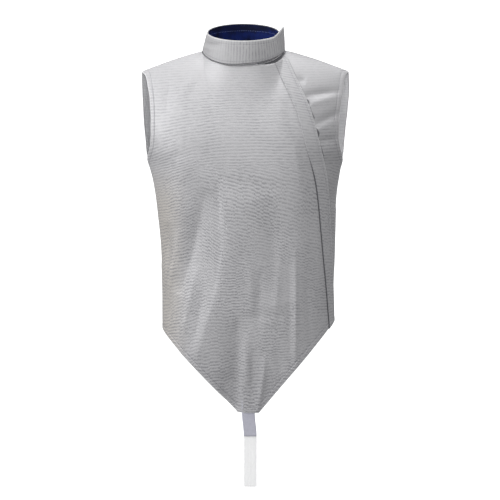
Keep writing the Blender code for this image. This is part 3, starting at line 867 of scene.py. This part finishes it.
# Areas where the ribs lean, with frayed borders: a pair is where one starts and where it is full, a
# trio its middle, its reach to either side and the soft border beyond
FRAY = 0.06
PULLED_LEAN = 0.20
PULLED_X = (-0.108, -0.088)
PULLED_Z = (-0.310, 0.088, 0.018)
PULLED_LOW_X = (0.040, 0.036, 0.016)
PULLED_LOW_Z = (-0.460, 0.052, 0.012)
LIFTED_LEAN = -0.13
LIFTED_X = (-0.084, -0.108)
LIFTED_Z = (-0.13, -0.20)


def weave_silver(name, tone, metallic=0.34, clear_axis=2, clear_from=-0.015, clear_to=-0.095):
    """Woven silver cloth: shallow ribs along the weft, fine threads, and a turned, stitched edge.

    Its colour also holds painted light: a highlight on the rim of a turned edge, shade along its
    stitch line and on the tip, and shadow along the lines where the cloth is overlapped.

    The ribs are faint on one side of clear_from and clear beyond clear_to, along that axis.
    """
    finish = Finish(name, roughness=0.58, metallic=metallic, sheen=0.10)
    light, warm_light, dark, highlight_colour = (
        tuple(tone * part for part in colour[:3]) + (1,)
        for colour in (SILVER_LIGHT, SILVER_WARM, SILVER_SHADE, SILVER_PAINTED_HIGHLIGHT)
    )
    place = finish.place()
    x, z = finish.part_of(place, 0), finish.part_of(place, 2)
    across, up = finish.weave()
    low = finish.step(z, *BROKEN_Z)
    cell = finish.add("ShaderNodeTexVoronoi", {}, {"Vector": finish.threads(85, 16), "Scale": 1.0}, 1)
    wander = finish.mottle(11, 14) * WANDER + finish.part_of(cell, 0) * low * CELL_WANDER

    def grooves(lean):
        """Grooves between the ribs; lean is their fall towards the right."""
        count = (up + across * lean) / RIB + wander
        return finish.within(finish.math("FRACT", count), 0.5, GROOVE_FLOOR, GROOVE_SLOPE)

    fray = (finish.mottle(45, 45) - 0.5) * FRAY
    frayed_x, frayed_z = x + fray, z + fray
    pulled = finish.within(frayed_z, *PULLED_Z) * finish.step(frayed_x, *PULLED_X)
    pulled_low = finish.within(frayed_x, *PULLED_LOW_X) * finish.within(frayed_z, *PULLED_LOW_Z)
    lifted = finish.step(frayed_x, *LIFTED_X) * finish.step(z, *LIFTED_Z)
    pulled = finish.math("MAXIMUM", pulled, pulled_low)
    groove = finish.blend(pulled, grooves(0.0), grooves(PULLED_LEAN))
    groove = finish.blend(lifted, groove, grooves(LIFTED_LEAN))
    whole = finish.step(finish.mottle(90, 200) + (finish.mottle(300, 210, 1.0) - 0.5) * low, 0.28, 0.64)
    patches = finish.step(finish.mottle(14, 14, 1.0), 0.38, 0.60)
    clear = finish.step(finish.part_of(place, clear_axis), clear_from, clear_to)
    clear = FAINT_RIBS + (1 - FAINT_RIBS) * clear
    edge = finish.attribute("edge")
    shade = groove * (BROKEN_SHADE + WHOLE_SHADE * whole) * clear * (1.0 + LOW_SHADE * low)
    shade = shade * (FAINT_PATCHES + (1 - FAINT_PATCHES) * patches)
    shade = shade + (finish.mottle(420, 420, 1.0) - 0.5) * SPECK_SHADE * (1.0 + low)
    # Painted shade in the stitched groove inside a turned edge
    shade = shade + finish.within(edge, HEM_DEPTH, 0.0, STITCH_LINE) * STITCH_PAINTED_SHADE
    # Painted shade: the cloth darker towards the tip of the V
    shade = shade + finish.step(z, *PAINTED_SHADE_TIP_Z) * TIP_PAINTED_SHADE
    warm = finish.step(x, *WARM_X) * finish.step(z, *WARM_Z)
    # Painted highlight along the rim of a turned edge
    painted_highlight = 1.0 - finish.step(edge, *PAINTED_HIGHLIGHT_FADE)
    # Painted shadow along the lines where the piece is overlapped, and along seams in shade
    painted_shadow = 1.0 - finish.step(finish.attribute("painted_shadow"), *PAINTED_SHADOW_FADE)
    silver = finish.mix(shade, finish.mix(warm, light, warm_light), dark)
    silver = finish.mix(painted_shadow * LINE_COVER, silver, SILVER_PAINTED_SHADOW)
    finish.colour(finish.mix(painted_highlight * LINE_COVER, silver, highlight_colour))
    depth = groove * clear * (GROOVE_DEPTH + LOW_DEPTH * low)
    finish.relief(0.5 - depth + finish.grain(THREAD) * GRAIN_DEPTH, RIB_RELIEF, strength=0.55)
    return finish


def weave_inside():
    """Inner side of the same cloth, painted paler: painted light for the light that reaches the inside,
    with the ribs only faint.
    """
    finish = Finish("silver_inside_painted_light", roughness=0.7, metallic=0.1)
    ribs = finish.wave(finish.weave()[1], RIB)
    shade = 0.35 + 0.25 * ribs + 0.6 * (finish.mottle(60, 160) - 0.5)
    finish.colour(finish.mix(shade, SILVER_INSIDE_PAINTED_LIGHT, SILVER_INSIDE_PAINTED_LIGHT_DARKER))
    finish.relief(finish.grain(THREAD), THREAD_RELIEF, strength=0.5)
    return finish


silver_lame = weave_silver("silver_lame", 0.88)
silver_inside_painted_light = weave_inside()


THREAD_TWIST = 900.0
THREAD_SILVER = (0.50, 0.50, 0.52, 1)
THREAD_SILVER_SHADE = (0.30, 0.30, 0.32, 1)
STITCH_LENGTH = 0.0026
STITCH_PITCH = 0.0036
STITCH_RADIUS = 0.00032
STITCH_FLATNESS = 1.3


def spin_thread(name, roughness, metallic, shade, light):
    """Sewing thread, mottled by its twist."""
    finish = Finish(name, roughness, metallic)
    sockets = {0: finish.place(), "Scale": THREAD_TWIST}
    twist = finish.noise(finish.add("ShaderNodeVectorMath", {"operation": "SCALE"}, sockets), 1.0)
    finish.colour(finish.mix(twist, shade, light))
    return finish


silver_thread = spin_thread(
    "silver_thread", roughness=0.5, metallic=0.2, shade=THREAD_SILVER_SHADE, light=THREAD_SILVER,
)


def point_at(place, run, points):
    """Point at a distance along a row of points, whose own distances are the run."""
    return Vector([np.interp(place, run, part) for part in points.T])


def sew(name, slot, finish, *seams):
    """Rows of stitches along seams, each a path of points with the cloth's normals there."""
    stitches = bmesh.new()
    size = Matrix.Diagonal((STITCH_LENGTH / 2, STITCH_RADIUS * STITCH_FLATNESS, STITCH_RADIUS, 1))
    for path, normals in seams:
        run = run_along(path)
        for start in np.arange(STITCH_PITCH, run[-1] - STITCH_PITCH, STITCH_PITCH):
            low, high = point_at(start, run, path), point_at(start + STITCH_LENGTH, run, path)
            up = point_at(start, run, normals).normalized()
            along = (high - low).normalized()
            side = up.cross(along).normalized()
            turn = Matrix((along, side, along.cross(side))).transposed().to_4x4()
            middle = (low + high) / 2 + up * STITCH_RADIUS / 2
            bmesh.ops.create_icosphere(
                stitches, subdivisions=1, radius=1.0, matrix=Matrix.Translation(middle) @ turn @ size,
            )
    mesh = finished_mesh(name, stitches, finish.material)
    mesh.shade_smooth()
    piece = put_in(name, mesh)
    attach(piece, "root")
    return piece


LINE_FADE_Z = -0.24
LINE_FADE_LENGTH = 0.14


def faded_line(panel):
    """Distance that hides the painted shadow line along the band towards its top."""
    return 2 * PAINTED_SHADOW_WIDTH * ease((panel.points[..., 2] - LINE_FADE_Z) / LINE_FADE_LENGTH)


FRONT_ARC = 0.36
PANEL_HEIGHT = 0.53

panel_up = shares(ROWS * FINE_ROWS, low=PANEL_HEIGHT)
underarm_row = int(np.searchsorted(panel_up, SIDE_ROWS / ROWS))


def hemmed(panel, *sides):
    """The panel with its hem and armholes turned in, its distances from them, and their seams.

    Sides are the columns along which it has an armhole: 0 for the first, -1 for the last.
    """
    from_hem = panel.distance_from(panel.points[:, 0])
    from_armholes = panel.distance_from(*(panel.points[side, underarm_row:] for side in sides))
    from_edge = np.minimum(from_hem, from_armholes)
    panel = panel.turned_in(from_edge)
    seams = [panel.seam(from_hem, HEM_DEPTH)]
    seams += [panel.seam(from_armholes, HEM_DEPTH, side) for side in sides]
    return panel, from_edge, seams


front_across = shares((FRONT_COLUMNS + BAND_COLUMNS) * FINE_COLUMNS, low=FRONT_ARC)
front, front_from_edge, front_seams = hemmed(spread(front_across, panel_up, front_points), 0)
band_column = int(np.searchsorted(front_across, FRONT_COLUMNS / (FRONT_COLUMNS + BAND_COLUMNS) - 1e-6))
# The front's colour gets painted shadow along the band's inner line, fading out towards the top
front_cloth = lay_cloth(
    "front_cloth", "front_panel", front, weft_threads(front, FRONT_TILTS), CLOTH_WALL, silver_lame,
    silver_inside_painted_light, edge=front_from_edge,
    painted_shadow=front.distance_from(front.points[band_column]) + faded_line(front),
)
front_stitches = sew("front_stitches", "silver_cloth", silver_thread, *front_seams)


# Side front: the smaller front panel of the same cloth, on the wearer's left. Its front edge lies
# hidden under the large front, and it is sewn to the back at the shoulder and down the side.
UNDERLAP_WIDTH = 0.050
COLLAR_START = math.radians(68)
SIDE_FRONT_COLUMNS = 12
SIDE_FRONT_NECK_COLUMNS = 4
PANEL_FAN = 3
SIDE_FRONT_FOLDS = (
    (0.092, -0.046, 0.112, -0.052, 0.000, 0.006, 0.007, -0.0020),
    (0.100, -0.080, 0.182, -0.070, 0.002, 0.010, 0.007, -0.0044),
    (0.108, -0.098, 0.180, -0.080, 0.002, 0.006, 0.010, 0.0020),
    (0.126, -0.132, 0.184, -0.108, 0.000, 0.013, 0.009, -0.0048),
    (0.124, -0.146, 0.176, -0.122, 0.000, 0.008, 0.012, 0.0018),
    (0.130, -0.164, 0.180, -0.158, 0.000, 0.005, 0.006, -0.0034),
    (0.134, -0.180, 0.178, -0.186, 0.000, 0.014, 0.012, 0.0016),
    (0.146, -0.200, 0.178, -0.206, 0.000, 0.008, 0.008, -0.0022),
    (0.104, -0.084, 0.118, -0.100, 0.000, 0.005, 0.006, -0.0030),
    (0.120, -0.114, 0.134, -0.140, 0.000, 0.005, 0.006, -0.0030),
    (0.158, -0.240, 0.166, -0.300, 0.000, 0.010, 0.012, -0.0036),
    (0.150, -0.300, 0.164, -0.420, 0.000, 0.008, 0.008, 0.0018),
)
SIDE_FRONT_TILTS = (
    (0.135, -0.075, 0.040, 0.050, 0.08),
    (0.150, -0.170, 0.040, 0.060, 0.05),
)


def neck_place(turn):
    seam = neck_seam(turn)
    return angle_at(seam[..., 0], seam[..., 2], np.sin(turn) >= 0), seam[..., 2]


def side_front_top(s):
    neck_end = SIDE_FRONT_NECK_COLUMNS / SIDE_FRONT_COLUMNS
    neck = neck_place(blend(COLLAR_START, 0.0, np.clip(s / neck_end, 0, 1)))
    shoulder = shoulder_place(np.clip((s - neck_end) / (1 - neck_end), 0, 1), 1, True)
    return [np.where(s < neck_end, at_neck, at_shoulder) for at_neck, at_shoulder in zip(neck, shoulder)]


def side_front_left(t):
    """Hidden edge of the underlap; at its top it runs to the collar's covered end."""
    top_angle, top_height = side_front_top(0.0)
    height = blend(HEM_RIGHT, top_height, t)
    shift = top_angle - edge_angle(top_height, UNDERLAP_WIDTH)
    return edge_angle(height, UNDERLAP_WIDTH) + shift * t ** 4, height


def side_front_low(s):
    return blend(side_front_left(0.0)[0], 0.0, s), HEM_RIGHT + 0 * s


side_front_right = side_edge(HEM_RIGHT, "front", 0.0, 1)


def side_front_points(s, t):
    angle, height = patch(
        side_front_low, side_front_top, side_front_left, side_front_right, PANEL_FAN, s, t,
    )
    return cloth_points(angle, height, SIDE_FRONT_FOLDS)


SIDE_FRONT_ARC = 0.15
# Heights where the edge above stands off a little, and the size of the painted shadow widened there
PAINTED_GAP_SHADOW_HEIGHTS = (-0.088, -0.120, -0.148)
PAINTED_GAP_SHADOW_WIDTH = 0.0030
PAINTED_GAP_SHADOW_LENGTH = 0.0055
PAINTED_NECK_SHADOW_WIDTH = 0.0050

side_across = shares(SIDE_FRONT_COLUMNS * FINE_COLUMNS, high=SIDE_FRONT_ARC)
side_front, side_from_edge, side_seams = hemmed(spread(side_across, panel_up, side_front_points), -1)
# Painted shadow on this panel just beyond the front's overlapping edge, wider at those heights
side_from_front = side_front.distance_from(front.points[-1]) - OVERLAP_RISE
for shadow_z in PAINTED_GAP_SHADOW_HEIGHTS:
    shadow_place = (side_front.points[..., 2] - shadow_z) / PAINTED_GAP_SHADOW_LENGTH
    side_from_front -= PAINTED_GAP_SHADOW_WIDTH * np.exp(-shadow_place ** 2)
# Painted shadow along its neck seam, which shows in the gap under the collar's free end
neck_columns = np.searchsorted(side_across, SIDE_FRONT_NECK_COLUMNS / SIDE_FRONT_COLUMNS)
side_from_neck = side_front.distance_from(side_front.points[:neck_columns, -1]) - PAINTED_NECK_SHADOW_WIDTH
side_front_cloth = lay_cloth(
    "side_front_cloth", "side_front_panel", side_front, weft_threads(side_front, SIDE_FRONT_TILTS),
    CLOTH_WALL, weave_silver("side_lame", 0.81, clear_from=-0.09, clear_to=-0.19), silver_inside_painted_light,
    edge=side_from_edge, painted_shadow=np.minimum(side_from_front, side_from_neck),
)
side_front_stitches = sew("side_front_stitches", "silver_cloth", silver_thread, *side_seams)


# Back: one panel of the same cloth from side seam to side seam, with a plain straight hem.
# It is sewn to both fronts at the shoulders and sides, and to the collar round the neck.
BACK_COLUMNS = 24
BACK_SHOULDER_COLUMNS = 7
HEM_BACK_RISE = 0.006
JUST_BEHIND = math.pi + 1e-6
BACK_FOLDS = (
    (0.130, -0.080, 0.080, -0.260, -0.008, 0.022, 0.022, 0.0045),
    (-0.130, -0.090, -0.085, -0.240, 0.008, 0.022, 0.022, 0.0040),
    (0.040, -0.300, 0.100, -0.470, 0.010, 0.024, 0.020, 0.0050),
    (-0.030, -0.280, -0.090, -0.490, -0.008, 0.026, 0.018, 0.0055),
    (0.002, -0.330, -0.010, -0.520, 0.004, 0.020, 0.020, -0.0045),
    (0.130, -0.260, 0.140, -0.420, 0.000, 0.018, 0.018, -0.0045),
    (-0.140, -0.280, -0.130, -0.430, 0.000, 0.018, 0.018, -0.0050),
    (0.060, -0.120, 0.020, -0.260, 0.004, 0.012, 0.012, 0.0016),
    (-0.050, -0.150, -0.020, -0.270, 0.004, 0.010, 0.012, -0.0014),
    (0.120, -0.200, 0.060, -0.300, 0.006, 0.008, 0.010, 0.0018),
    (-0.125, -0.210, -0.060, -0.310, 0.006, 0.010, 0.008, 0.0016),
    (0.070, -0.400, 0.060, -0.515, 0.000, 0.008, 0.010, -0.0020),
    (-0.055, -0.420, -0.040, -0.520, 0.000, 0.008, 0.008, 0.0018),
)
BACK_TILTS = (
    (-0.070, -0.400, 0.050, 0.080, 0.20),
    (0.080, -0.380, 0.050, 0.080, -0.22),
    (0.000, -0.090, 0.090, 0.070, 0.06),
)


def back_low(s):
    height = blend(HEM_RIGHT, HEM_LEFT, s) + HEM_BACK_RISE * np.sin(math.pi * s)
    return blend(2 * math.pi, math.pi, s), height


def back_top(s):
    neck_start = BACK_SHOULDER_COLUMNS / BACK_COLUMNS
    neck_end = 1 - neck_start
    right = shoulder_place(np.clip(1 - s / neck_start, 0, 1), 1, False)
    left = shoulder_place(np.clip((s - neck_end) / neck_start, 0, 1), -1, False)
    turn = blend(0.0, -math.pi, np.clip((s - neck_start) / (neck_end - neck_start), 0, 1))
    seam = neck_seam(turn)
    neck = angle_at(seam[..., 0], seam[..., 2], False), seam[..., 2]
    return [np.where(s < neck_start, r, np.where(s > neck_end, l, n)) for r, l, n in zip(right, left, neck)]


back_right = side_edge(HEM_RIGHT, "back", 2 * math.pi, -1)
back_left = side_edge(HEM_LEFT, "back", math.pi, 1)


def back_points(s, t):
    angle, height = patch(back_low, back_top, back_right, back_left, PANEL_FAN, s, t)
    return cloth_points(np.maximum(angle, JUST_BEHIND), height, BACK_FOLDS)


BACK_ARC = 0.42

back_across = shares(BACK_COLUMNS * FINE_COLUMNS, low=BACK_ARC, high=BACK_ARC)
back, back_from_edge, back_seams = hemmed(spread(back_across, panel_up, back_points), 0, -1)
back_cloth = lay_cloth(
    "back_cloth", "back_panel", back, weft_threads(back, BACK_TILTS), CLOTH_WALL, silver_lame,
    silver_inside_painted_light, edge=back_from_edge,
)
back_stitches = sew("back_stitches", "silver_cloth", silver_thread, *back_seams)


# Band: a strip of the same cloth cut across its weft, folded over the diagonal edge of the front
# and topstitched down both long sides. Its ribs run across it.
BAND_RISE = 0.0012
BAND_WALL = 0.0009
BAND_SEAM_DEPTH = 0.0055
BAND_RIB_SLOPE = 0.24
BAND_LEVEL_Z = -0.22
BAND_SLOPE_FADE = 0.14
BAND_SEAMS = (2, 14)

band = Panel(front.points[band_column:] + front.normals[band_column:] * BAND_RISE)
band_across = run_along(band.points)
band_middle = band.points[band.columns // 2]
band_slope = BAND_RIB_SLOPE * ease((band.points[..., 2] - BAND_LEVEL_Z) / BAND_SLOPE_FADE)
band_up = np.interp(band.points[..., 2], band_middle[:, 2], run_along(band_middle))
band_up += band_slope * (band_across - BAND_WIDTH / 2)
# The band gets a painted highlight on its outer rim, painted shade along its stitch line, and painted
# shadow along its inner edge, fading out towards the top
band_cloth = lay_cloth(
    "band_cloth", "placket_band", band, np.stack((band_across, band_up), axis=-1), BAND_WALL,
    weave_silver("band_lame", 0.82, metallic=0.20, clear_from=0.03, clear_to=-0.02),
    edge=band.distance_from(band.points[-1]) * HEM_DEPTH / BAND_SEAM_DEPTH,
    painted_shadow=band.distance_from(band.points[0]) + faded_line(band),
)
band_stitches = sew(
    "band_stitches", "silver_cloth", silver_thread,
    *((band.points[column], band.normals[column]) for column in BAND_SEAMS),
)


# Collar: one stand strip of the same cloth, its ribs upright, sewn round the neck. Its outer end
# laps over the covered one at the wearer's left and stands a little free. Its top edge is folded.
COLLAR_X = -0.008
COLLAR_Y = -0.004
COLLAR_HALF_WIDTH = 0.070
COLLAR_HALF_DEPTH = 0.070
COLLAR_TOP_HEIGHT = 0.0412
COLLAR_TOP_TILT = 0.0164
COLLAR_BULGE = 0.0004
COLLAR_SEAT = 0.0014
COLLAR_END = math.radians(-349)
COLLAR_LAP_START = math.radians(-232)
COLLAR_LAP_FULL = math.radians(-286)
COLLAR_LAP_OFFSET = 0.0048
COLLAR_LAP_LIFT = 0.0035
COLLAR_FREE_START = math.radians(-316)
COLLAR_END_FLARE = 0.0045
COLLAR_END_LIFT = 0.0135
COLLAR_COLUMNS = 280
COLLAR_ROWS = 24
COLLAR_ROLL_ROWS = 6
COLLAR_ROLL = 0.0012
COLLAR_WALL = 0.0008
COLLAR_SEAM_ROWS = (3, 19)
# Its painted rim highlight is narrower than a turned edge's, and the painted shadow by its low seam is
# fainter than at its neck edge
COLLAR_RIM_SHARPNESS = 1.6
LOW_SEAM_FAINTNESS = 0.0010
# Soft creases: turn in degrees and height share of the middle, slant, spreads along and up, rise
CREASE_COLUMNS = ("turn", "share", "slant", "along", "up", "rise")
COLLAR_CREASES = (
    (-208, 0.62, -0.9, 17, 0.10, -0.0016),
    (-203, 0.40, -0.8, 18, 0.10, 0.0012),
    (-222, 0.70, -0.6, 14, 0.10, -0.0011),
    (-243, 0.50, 0.5, 8, 0.20, 0.0008),
    (-292, 0.60, 0.3, 18, 0.22, 0.0006),
    (-120, 0.50, 0.4, 24, 0.20, 0.0010),
    (-60, 0.55, -0.4, 22, 0.18, -0.0009),
)


def collar_points(s, t):
    turn = blend(COLLAR_START, COLLAR_END, s)
    toward = np.stack((np.cos(turn), -np.sin(turn), 0 * turn), axis=-1)
    centre = np.array((COLLAR_X, COLLAR_Y, COLLAR_TOP_HEIGHT))
    reach = np.array((COLLAR_HALF_WIDTH, COLLAR_HALF_DEPTH, 0.0))
    high = centre + toward * reach
    high[..., 2] -= COLLAR_TOP_TILT * np.sin(turn)
    lapped = ease((COLLAR_LAP_START - turn) / (COLLAR_LAP_START - COLLAR_LAP_FULL))
    free = ease((COLLAR_FREE_START - turn) / (COLLAR_FREE_START - COLLAR_END))
    low = neck_seam(turn)
    low[..., 2] += COLLAR_SEAT + COLLAR_LAP_LIFT * lapped
    out = COLLAR_LAP_OFFSET * lapped + COLLAR_END_FLARE * free * t + COLLAR_BULGE * np.sin(math.pi * t)
    for crease in named(CREASE_COLUMNS, COLLAR_CREASES):
        off_turn = (np.degrees(turn) - crease["turn"]) / crease["along"]
        off_up = (t - crease["share"] - crease["slant"] * off_turn * crease["up"]) / crease["up"]
        out = out + crease["rise"] * np.exp(-off_turn ** 2 - off_up ** 2)
    points = low + (high - low) * t[..., None] + toward * out[..., None]
    points[..., 2] += COLLAR_END_LIFT * free * t
    return points, toward


def collar_shell_points(s, t):
    """The collar's outside and, above it, the roll of its folded top edge."""
    roll_start = COLLAR_ROWS / (COLLAR_ROWS + COLLAR_ROLL_ROWS)
    points, toward = collar_points(s, np.minimum(t / roll_start, 1.0))
    roll = math.pi * np.clip((t - roll_start) / (1 - roll_start), 0, 1)[..., None]
    return points - toward * COLLAR_ROLL * (1 - np.cos(roll)) + np.array((0, 0, COLLAR_ROLL)) * np.sin(roll)


def run_threads(panel, upright):
    """Places along the weave of a strip; an upright weave has its ribs across the strip."""
    rise = run_along(panel.points, axis=1)
    along = run_along(panel.points).mean(axis=1, keepdims=True) + 0 * rise
    return np.stack((rise, along) if upright else (along, rise), axis=-1)


collar = spread(shares(COLLAR_COLUMNS), shares(COLLAR_ROWS + COLLAR_ROLL_ROWS), collar_shell_points)
collar_from_rim = collar.distance_from(collar.points[:, COLLAR_ROWS], collar.points[-1])
collar_from_neck = collar.distance_from(collar.points[:, 0])
collar_from_seam = collar.distance_from(collar.points[:, COLLAR_SEAM_ROWS[0]])
# Painted shadow along its neck edge and its low seam
collar_cloth = lay_cloth(
    "collar_cloth", "collar_shell", collar, run_threads(collar, True), COLLAR_WALL,
    # Its silver is a darker copy of the panels' cloth: painted shade
    weave_silver("collar_lame", 0.69, metallic=0.10, clear_axis=0, clear_from=-0.07, clear_to=-0.01),
    edge=collar_from_rim * COLLAR_RIM_SHARPNESS,
    painted_shadow=np.minimum(collar_from_neck, collar_from_seam + LOW_SEAM_FAINTNESS),
)
collar_stitches = sew(
    "collar_stitches", "silver_cloth", silver_thread,
    *((collar.points[:, row], collar.normals[:, row]) for row in COLLAR_SEAM_ROWS),
)


# Collar lining: a dark blue plain weave inside the collar, topstitched about 12 mm below its
# folded top edge with paler thread. It is the only lining that shows.
LINING_STEP = 0.0016
LINING_WALL = 0.0006
LINING_TOP = 0.995
LINING_BLUE = (0.004, 0.014, 0.115, 1)
LINING_DARK = (0.002, 0.004, 0.022, 1)
LINING_DARK_START = 0.034
LINING_DARK_FULL = 0.042
LINING_DARK_COVER = 0.75
LINING_THREAD = (0.20, 0.25, 0.48, 1)
LINING_THREAD_SHADE = (0.06, 0.09, 0.26, 1)
LINING_STITCH_ROW = 18


def weave_lining():
    """Dark blue plain weave, darkest above the topstitching."""
    finish = Finish("blue_lining", roughness=0.85)
    finish.shader.inputs["Specular IOR Level"].default_value = 0.2
    grain = finish.grain(THREAD)
    # Lighter and darker blotches of blue over the lining
    blotches = finish.step(finish.mottle(60, 60, 4.0) + grain * 0.12, 0.30, 0.66)
    top = finish.step(finish.weave()[1], LINING_DARK_START, LINING_DARK_FULL) * LINING_DARK_COVER
    finish.colour(finish.mix(top, finish.mix(blotches, LINING_DARK, LINING_BLUE), LINING_DARK))
    finish.relief(grain, THREAD_RELIEF, strength=0.5)
    return finish


def lining_points(s, t):
    points, toward = collar_points(s, t * LINING_TOP)
    return points - toward * LINING_STEP


lining = spread(shares(COLLAR_COLUMNS), shares(COLLAR_ROWS), lining_points)
lining_cloth = lay_cloth(
    "lining_cloth", "collar_lining", lining, run_threads(lining, False), LINING_WALL, weave_lining(),
)
blue_thread = spin_thread(
    "blue_thread", roughness=0.6, metallic=0.0, shade=LINING_THREAD_SHADE, light=LINING_THREAD,
)
lining_normals = lining.normals[:, LINING_STITCH_ROW]
lining_seam = lining.points[:, LINING_STITCH_ROW] - lining_normals * LINING_WALL
lining_stitches = sew("lining_stitches", "blue_lining", blue_thread, (lining_seam, -lining_normals))


# Crotch strap: grey-lilac webbing sewn behind the tip of the V, with white elastic sewn to its end.
# Both are flat woven tapes, 25 mm wide.
STRAP_X = 0.0035
STRAP_WIDTH = 0.025
STRAP_LEAN = 0.0035
WEBBING_TOP = HEM_TIP + 0.026
WEBBING_END = -0.729
ELASTIC_TOP = WEBBING_END + 0.012
ELASTIC_END = -0.828
TAPE_COLUMNS = 12
WEBBING_ROWS = 36
ELASTIC_ROWS = 56
TAPE_WALL = 0.0013
WEBBING_CORDS = 11
ELASTIC_CORDS = 9
TAPE_RELIEF = 0.0004
WEBBING_LIGHT = (0.50, 0.50, 0.57, 1)
WEBBING_SHADE = (0.34, 0.34, 0.41, 1)
ELASTIC_LIGHT = (0.99, 0.99, 0.99, 1)
ELASTIC_SHADE = (0.90, 0.90, 0.91, 1)


def weave_tape(name, light, shade, cords):
    """Flat woven tape: fine cords along it, crossed by close picks."""
    finish = Finish(name, roughness=0.65, sheen=0.1)
    across, up = finish.weave()
    cord = finish.wave(across, STRAP_WIDTH / cords)
    relief = cord * 0.5 + finish.wave(up, THREAD) * cord * 0.35
    raised = finish.step(relief + finish.mottle(300, 300) * 0.6, -0.7, 0.5)
    finish.colour(finish.mix(raised, shade, light))
    finish.relief(relief, TAPE_RELIEF, strength=0.6)
    return finish


def tape_points(top, end, depth):
    def place(s, t):
        height = blend(end, top, t)
        lean = STRAP_LEAN * ease((HEM_TIP - height) / (HEM_TIP - WEBBING_END))
        x = STRAP_X - STRAP_LEAN / 2 + lean + STRAP_WIDTH * (s - 0.5)
        return np.stack((x, depth + 0 * x, height), axis=-1)
    return place


webbing_points = tape_points(WEBBING_TOP, WEBBING_END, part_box("strap_webbing")[0][1])
webbing = spread(shares(TAPE_COLUMNS), shares(WEBBING_ROWS), webbing_points)
webbing_tape = lay_cloth(
    "webbing_tape", "strap_webbing", webbing, run_threads(webbing, False), TAPE_WALL,
    weave_tape("grey_webbing", WEBBING_LIGHT, WEBBING_SHADE, WEBBING_CORDS),
)
elastic_points = tape_points(ELASTIC_TOP, ELASTIC_END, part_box("strap_elastic")[0][1])
elastic = spread(shares(TAPE_COLUMNS), shares(ELASTIC_ROWS), elastic_points)
elastic_tape = lay_cloth(
    "elastic_tape", "strap_elastic", elastic, run_threads(elastic, False), TAPE_WALL,
    weave_tape("white_elastic", ELASTIC_LIGHT, ELASTIC_SHADE, ELASTIC_CORDS),
)
